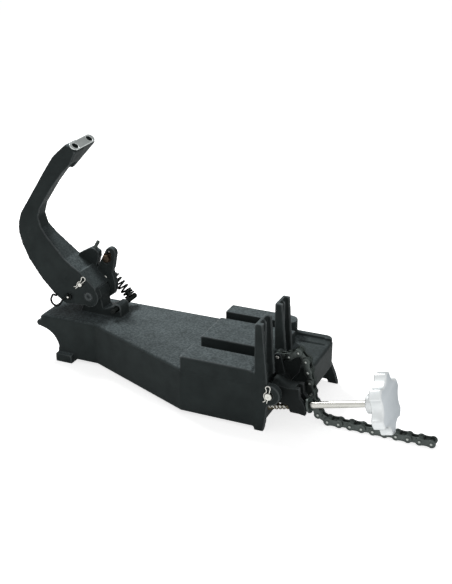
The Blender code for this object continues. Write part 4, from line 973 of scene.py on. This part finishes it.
@dataclass
class ClampScrew(Assembly):
    """The clamp screw with its nut, thrust washer and spring."""

    nut: Triple = (-0.0253, -0.070, 0.02373)  # the nut's middle, from the front datum
    slope: float = 14.0  # degrees that the screw rises toward the knob
    nut_radius: float = 0.011
    nut_length: float = 0.026  # across the stand
    thread_radius: float = 0.004
    thread_depth: float = 0.0012
    pitch: float = 0.003
    thread_end: float = -0.024  # where the thread starts behind the nut
    shoulder: float = 0.0966  # where the plain shank starts
    shank_radius: float = 0.0055
    end: float = 0.228  # the shank's end in the knob
    washer: Triple = (0.0923, 0.0963, 0.013)  # the thrust washer's low end, high end and radius
    edge: float = 0.0006  # the chamfer of turned edges

    def origin(self) -> Vector:
        """The nut's middle in the model's frame."""
        return from_front(*self.nut)

    def build(self) -> None:
        """The screw, its nut, its washer and its spring."""
        middle = self.origin()
        place = along(middle, self.slope)
        screw = Shape("clamp_screw_turned")
        reach = (self.thread_end, self.shoulder)
        screw.threaded(self.thread_radius, self.thread_depth, self.pitch, reach, place, sides=24)
        screw.turned(barrel(self.shank_radius, self.shoulder, self.end, self.edge), place)
        self.put(screw, Finishes.steel, Body.SCREW, Slot.STEEL, "clamp_screw")
        half = self.nut_length / 2
        nut = Shape("trunnion_nut_turned")
        nut.turned(barrel(self.nut_radius, -half, half, self.edge), across(middle.x, middle.z, middle.y))
        self.put(nut, Finishes.steel, Body.NUT, Slot.STEEL, "trunnion_nut")
        low, high, radius = self.washer
        bore = self.thread_radius + self.edge / 2
        washer = Shape("thrust_washer_turned")
        washer.turned(barrel(radius, low, high, self.edge, bore), place, closed=True)
        self.put(washer, Finishes.dark, Body.WASHER, Slot.DARK, "thrust_washer")
        CoilSpring("screw_spring", Body.NUT, "screw_slide", middle, self.slope, reach=(0.0215, 0.0585),
                   radius=0.0053, wire=0.0018, turns=7, keep=0.88, slot=Slot.ZINC,
                   finish=Finishes.zinc).build()


@dataclass
class HandKnob(Assembly):
    """The six lobed cast knob with its hub and cross pin."""

    screw: ClampScrew
    reach: float = 0.2200  # the knob's middle along the screw
    radius: float = 0.0495  # at the lobes' tips
    notch: float = 0.0390  # the radius at the bottom of the scallops
    tip: float = 0.0170  # a lobe's width at its tip
    lobes: int = 6
    turn: float = 12.0  # degrees that the top lobe leans to the far side
    thick: float = 0.020
    edge: float = 0.0026  # the rounding of its rim
    hub_radius: float = 0.0155
    hub: float = 0.0175  # the hub's length behind the knob
    # The hub's foot, outward and forward in shares of the edge
    fillet: tuple = ((0.0, -1.6), (0.5, -0.6), (1.6, 1.0))
    pin_radius: float = 0.0020
    sink: float = 0.0006  # how deep the pin's ends lie in the hub

    def rim(self) -> Outline:
        """The rim: flat tipped lobes with a round scallop after each.

        Returns:
            Its points, counter-clockwise.
        """
        half_tip = math.degrees(math.asin(self.tip / 2 / self.radius))
        half_gap = math.radians(180.0 / self.lobes - half_tip)
        half_chord = self.radius * math.sin(half_gap)
        depth = self.radius * math.cos(half_gap) - self.notch
        scallop = (half_chord ** 2 + depth ** 2) / (2.0 * depth)
        spread = math.degrees(math.asin(half_chord / scallop))
        rim = []
        for lobe in range(self.lobes):
            tip = 180.0 - self.turn + 360.0 * lobe / self.lobes
            rim += ring_points((0.0, 0.0), self.radius, tip - half_tip, tip + half_tip, count=4)
            notch = tip + 180.0 / self.lobes
            center = ring_points((0.0, 0.0), self.notch + scallop, notch, notch, count=1)[0]
            rim += ring_points(center, scallop, notch + 180.0 + spread, notch + 180.0 - spread, count=9)[1:-1]
        return rim

    def build(self) -> None:
        """The knob's body and hub, and the pin through the hub."""
        place = along(self.screw.origin(), self.screw.slope)
        shape = Shape("hand_knob_cast")
        middle = place @ Matrix.Translation((0.0, 0.0, self.reach))
        shape.plate(self.rim(), self.thick, self.edge, middle, segments=4, softer=2)
        shape.surface.faces.ensure_lookup_table()
        # The front face takes the greyer aluminium: painted shade.
        shape.surface.faces[-1].material_index = 1
        back = self.reach - self.thick / 2
        start = back - self.hub
        radius, edge, bore = self.hub_radius, self.edge, self.screw.shank_radius
        foot = [(radius + edge * out, back + edge * forward) for out, forward in self.fillet]
        hub = [(bore, start), (radius - edge / 2, start), (radius, start + edge / 2), *foot,
               (bore, back + edge)]
        shape.turned(hub, place, closed=True)
        mesh = shape.mesh(Finishes.alloy, Finishes.shaded_front, sharp=50.0)
        self.place(shape.name, mesh, Body.SCREW, Slot.ALLOY, "hand_knob")
        half = self.hub_radius - self.sink
        pin = [(0.0, -half), (self.pin_radius, -half), (self.pin_radius, half), (0.0, half)]
        pin_place = place @ Matrix.Translation((0.0, 0.0, back - self.hub / 2))
        shape = Shape("knob_pin_drawn")
        shape.turned(pin, pin_place @ Matrix.Rotation(math.radians(-90.0), 4, "X"), sides=16)
        self.put(shape, Finishes.dark, Body.SCREW, Slot.STEEL, "knob_pin")


@dataclass
class RollerChain(Assembly):
    """The roller chain: waisted plates, rollers and riveted pins, one piece for each link."""

    pitch: float = 0.01905  # from pin to pin
    y: float = -0.038  # the chain's plane
    half: float = 0.0070  # a plate's half height at its pins
    waist: float = 0.0052  # its half height between them
    neck: float = 0.0018  # the waist's half length
    arc: float = 125.0  # degrees that a plate's round end runs to each side
    thick: float = 0.0024  # a plate's thickness
    gap: float = 0.0060  # between inner plates
    pin_radius: float = 0.0030
    dome: float = 0.0009  # the height of a pin's riveted end
    shank: tuple = ((0.0, 0.5), (0.8, 0.5), (1.0, 1.0))  # a pin's end in shares of its radius and of the dome
    # The bright middle of that end, in the same shares
    rivet: tuple = ((0.0, 0.0), (0.45, 0.15), (0.68, 0.45))
    roller_radius: float = 0.0060
    width: float = 0.0194  # over the pins
    play: float = 0.0003  # between inner and outer plates
    floor_pin: Pair = (0.0895, 0.0073)  # the first pin on the floor, from the front datum
    # The slopes of the links from the lever down, in degrees
    slopes: tuple = (10.0, 34.0, -46.0, -77.0, -80.0, -79.0, -74.5, -66.0, -29.0)
    flat: int = 9  # how many links lie flat
    # The link after the last one that each body carries
    ends: tuple = ((3, Body.LEVER), (8, Body.CHAIN_DROP), (16, Body.CHAIN_FLOOR), (17, Body.CHAIN_END_1),
                   (18, Body.CHAIN_END_2))

    def outline(self) -> Outline:
        """A plate's outline: two round ends and a hollow waist.

        Returns:
            Its points, counter-clockwise.
        """
        out, neck, waist = self.pitch / 2, self.neck, self.waist
        right = ring_points((out, 0.0), self.half, -self.arc, self.arc, count=22)
        left = ring_points((-out, 0.0), self.half, 180.0 - self.arc, 180.0 + self.arc, count=22)
        return [*right, (neck, waist), (-neck, waist), *left, (-neck, -waist), (neck, -waist)]

    def plates(self, shape: Shape, middle: float) -> None:
        """Adds a plate on each side, at a distance from the chain's middle.

        Args:
            shape: The link's shape.
            middle: The distance.
        """
        upright = Matrix.Rotation(math.radians(90.0), 4, "X")
        for side in (-1, 1):
            place = Matrix.Translation((0.0, side * middle, 0.0)) @ upright
            shape.plate(self.outline(), self.thick, EDGE_ROUND, place)

    def at_pins(self, shape: Shape, profile: Outline, sides: int) -> None:
        """Turns one profile at both of a link's pins."""
        for end in (-1, 1):
            shape.turned(profile, across(end * self.pitch / 2, 0.0), sides)

    def outer(self) -> bpy.types.Mesh:
        """An outer link: two plates and two pins with riveted ends.

        Returns:
            The link's mesh.
        """
        shape = Shape("outer_link")
        self.plates(shape, self.gap / 2 + self.thick + self.play + self.thick / 2)
        for finish, corners in enumerate((self.shank, self.rivet)):
            shape.finish_index = finish
            low = [(self.pin_radius * share, self.dome * sink - self.width / 2) for share, sink in corners]
            high = [(radius, -height) for radius, height in reversed(low)]
            self.at_pins(shape, low + high, sides=24)
        return shape.mesh(Finishes.dark, Finishes.peened)

    def inner(self) -> bpy.types.Mesh:
        """An inner link: two plates and two rollers.

        Returns:
            The link's mesh.
        """
        shape = Shape("inner_link")
        self.plates(shape, self.gap / 2 + self.thick / 2)
        reach = self.gap / 2 - self.play / 2
        self.at_pins(shape, barrel(self.roller_radius, -reach, reach, TURNED_EDGE), sides=28)
        return shape.mesh(Finishes.dark)

    def pins(self) -> Path:
        """The pins' places in the side view, from the lever to the free end.

        Returns:
            One place more than there are links.
        """
        slopes = [math.radians(slope) for slope in (*self.slopes, *[0.0] * self.flat)]
        steps = [Vector((math.cos(slope), math.sin(slope))) * self.pitch for slope in slopes]
        lead = sum(steps[:len(self.slopes)], Vector((0.0, 0.0)))
        places = [Vector(self.floor_pin) + Vector((FRONT_X, 0.0)) - lead]
        for step in steps:
            places.append(places[-1] + step)
        return places

    def carrier(self, index: int) -> Body:
        """The body that carries a link, counted from the lever."""
        return next(body for end, body in self.ends if index < end)

    def build(self) -> None:
        """Lays the links along the chain, inner and outer in turn."""
        meshes = (self.inner(), self.outer())
        places = self.pins()
        for index, (start, end) in enumerate(zip(places, places[1:])):
            middle = (start + end) / 2
            slope = math.atan2(end.y - start.y, end.x - start.x)
            at = Matrix.Translation((middle.x, self.y, middle.y)) @ Matrix.Rotation(-slope, 4, "Y")
            name = "link_%02d" % (index + 1)
            self.place(name, meshes[index % 2], self.carrier(index), Slot.DARK, "chain_" + name, at=at)


# Studio

@dataclass
class Studio:
    """The white floor and surroundings, the lamps and the camera."""

    target: Triple = (0.0335, 0.0, 0.100)  # the point that the camera looks at
    turn: float = 23.56  # degrees that it stands toward +X from the near side
    rise: float = 25.94  # degrees that it looks down
    distance: float = 1.6902
    lens: float = 61.47  # the focal length in millimetres
    shift: Pair = (-0.0101, 0.0810)
    surround: float = 0.30  # how strongly the surroundings light dull surfaces
    glow: float = 0.74  # how much of the floor's white doesn't come from the lamps
    wide: float = 20.0  # the floor's half width

    def build(self) -> None:
        """Everything around the stand."""
        self.floor()
        self.world()
        self.lamp("key_softbox", (-1.0, 0.6, 1.5), (0.0, 0.0, 0.05), size=0.5, power=25.0)
        self.lamp("front_softbox", (1.0, -1.3, 0.9), (0.1, 0.0, 0.1), size=0.9, power=1.5)
        self.camera()

    def seen(self, tree: Tree) -> Socket:
        """1 for rays from the camera, mirrors and glass, 0 for light on dull surfaces.

        Args:
            tree: The material's or world's node tree.
        Returns:
            The value's socket.
        """
        rays = add_node(tree, "ShaderNodeLightPath").outputs
        either = combined(tree, "MAXIMUM", rays["Is Camera Ray"], rays["Is Glossy Ray"])
        return combined(tree, "MAXIMUM", either, rays["Is Transmission Ray"])

    def floor(self) -> None:
        """A wide matt white floor that keeps the stand's shadow."""
        mesh = bpy.data.meshes.new("studio_floor")
        corners = [(x * self.wide, y * self.wide, 0.0) for x, y in ((-1, -1), (1, -1), (1, 1), (-1, 1))]
        mesh.from_pydata(corners, [], [(0, 1, 2, 3)])
        floor = add_object("studio_floor", mesh)
        paper = bpy.data.materials.new("matt_white_paper")
        paper.use_nodes = True
        tree = paper.node_tree
        tree.nodes.clear()
        dull = add_node(tree, "ShaderNodeBsdfDiffuse", {"Color": PAPER})
        strength = combined(tree, "MULTIPLY", self.seen(tree), self.glow)
        glow = add_node(tree, "ShaderNodeEmission", {"Strength": strength})
        both = add_node(tree, "ShaderNodeAddShader", {0: dull.outputs["BSDF"], 1: glow.outputs["Emission"]})
        add_node(tree, "ShaderNodeOutputMaterial", {"Surface": both.outputs["Shader"]})
        mesh.materials.append(paper)

    def world(self) -> None:
        """White surroundings for the camera and for reflections, dimmer for light on dull surfaces."""
        world = bpy.data.worlds.new("white_studio")
        world.use_nodes = True
        tree = world.node_tree
        tree.nodes.clear()
        strength = ranged(tree, self.seen(tree), end=(self.surround, 1.0))
        white = add_node(tree, "ShaderNodeBackground", {"Color": WHITE, "Strength": strength})
        add_node(tree, "ShaderNodeOutputWorld", {"Surface": white.outputs["Background"]})
        bpy.context.scene.world = world

    def lamp(self, name: str, place: Triple, aim: Triple, size: float, power: float) -> None:
        """Adds a square soft lamp.

        Args:
            name: The lamp's name.
            place: Where it hangs.
            aim: Where it points.
            size: Its side.
            power: Its power in watts.
        """
        light = bpy.data.lights.new(name, "AREA")
        light.size = size
        light.energy = power
        lamp = add_object(name, light)
        lamp.location = place
        lamp.rotation_euler = (Vector(aim) - Vector(place)).to_track_quat("-Z", "Y").to_euler()

    def camera(self) -> None:
        """The camera at the photograph's viewing angle."""
        turn, rise = math.radians(self.turn), math.radians(self.rise)
        back = Vector((math.sin(turn) * math.cos(rise), -math.cos(turn) * math.cos(rise), math.sin(rise)))
        lens = bpy.data.cameras.new("studio_camera")
        lens.lens = self.lens
        lens.shift_x, lens.shift_y = self.shift
        camera = add_object("studio_camera", lens)
        camera.location = Vector(self.target) + back * self.distance
        camera.rotation_euler = (-back).to_track_quat("-Z", "Y").to_euler()
        bpy.context.scene.camera = camera


def main() -> None:
    """Builds every sub-assembly and the studio."""
    logging.basicConfig(level=logging.INFO, format="%(name)s %(message)s")
    bpy.context.scene.view_settings.view_transform = "Standard"
    screw = ClampScrew()
    assemblies = [
        Casting("base_casting", Body.BASE, voxel=0.0016, rounds=2, share=0.30),
        Casting("saw_arm", Body.ARM, voxel=0.0014, rounds=5, share=0.40),
        # The lever's enamel carries a far weaker painted sheen than the base's.
        Casting("tension_lever", Body.LEVER, voxel=0.0009, rounds=5, share=0.40, finish=Finishes.lever_enamel),
        SawPad(),
        TurnedPin("pivot_pin", Body.BASE, chamfer=0.0003, center=0.05, finish=Finishes.enamel,
                  slot=Slot.PAINT),
        TurnedPin("spring_bar", Body.BASE, finish=Finishes.black, slot=Slot.DARK),
        TurnedPin("lever_pin", Body.BASE),
        TurnedPin("cross_pin", Body.ARM),
        TurnedPin("spring_pin", Body.ARM),
        TurnedPin("hook_pin", Body.ARM, chamfer=0.0004),
        TurnedPin("chain_anchor_pin", Body.LEVER, chamfer=0.0005),
        WireClip("cross_clip", Body.ARM, (-0.4025, 0.1445), y=0.012, pin_radius=0.004, turn=42.0),
        WireClip("lever_clip", Body.BASE, (0.0095, 0.068), y=-0.107, pin_radius=0.006, turn=78.0),
        LiftSpring(),
        TieHook(),
        SlotBolt(),
        screw,
        HandKnob(screw),
        RollerChain(),
        Studio(),
    ]
    for assembly in assemblies:
        assembly.build()


if __name__ == "__main__":
    main()
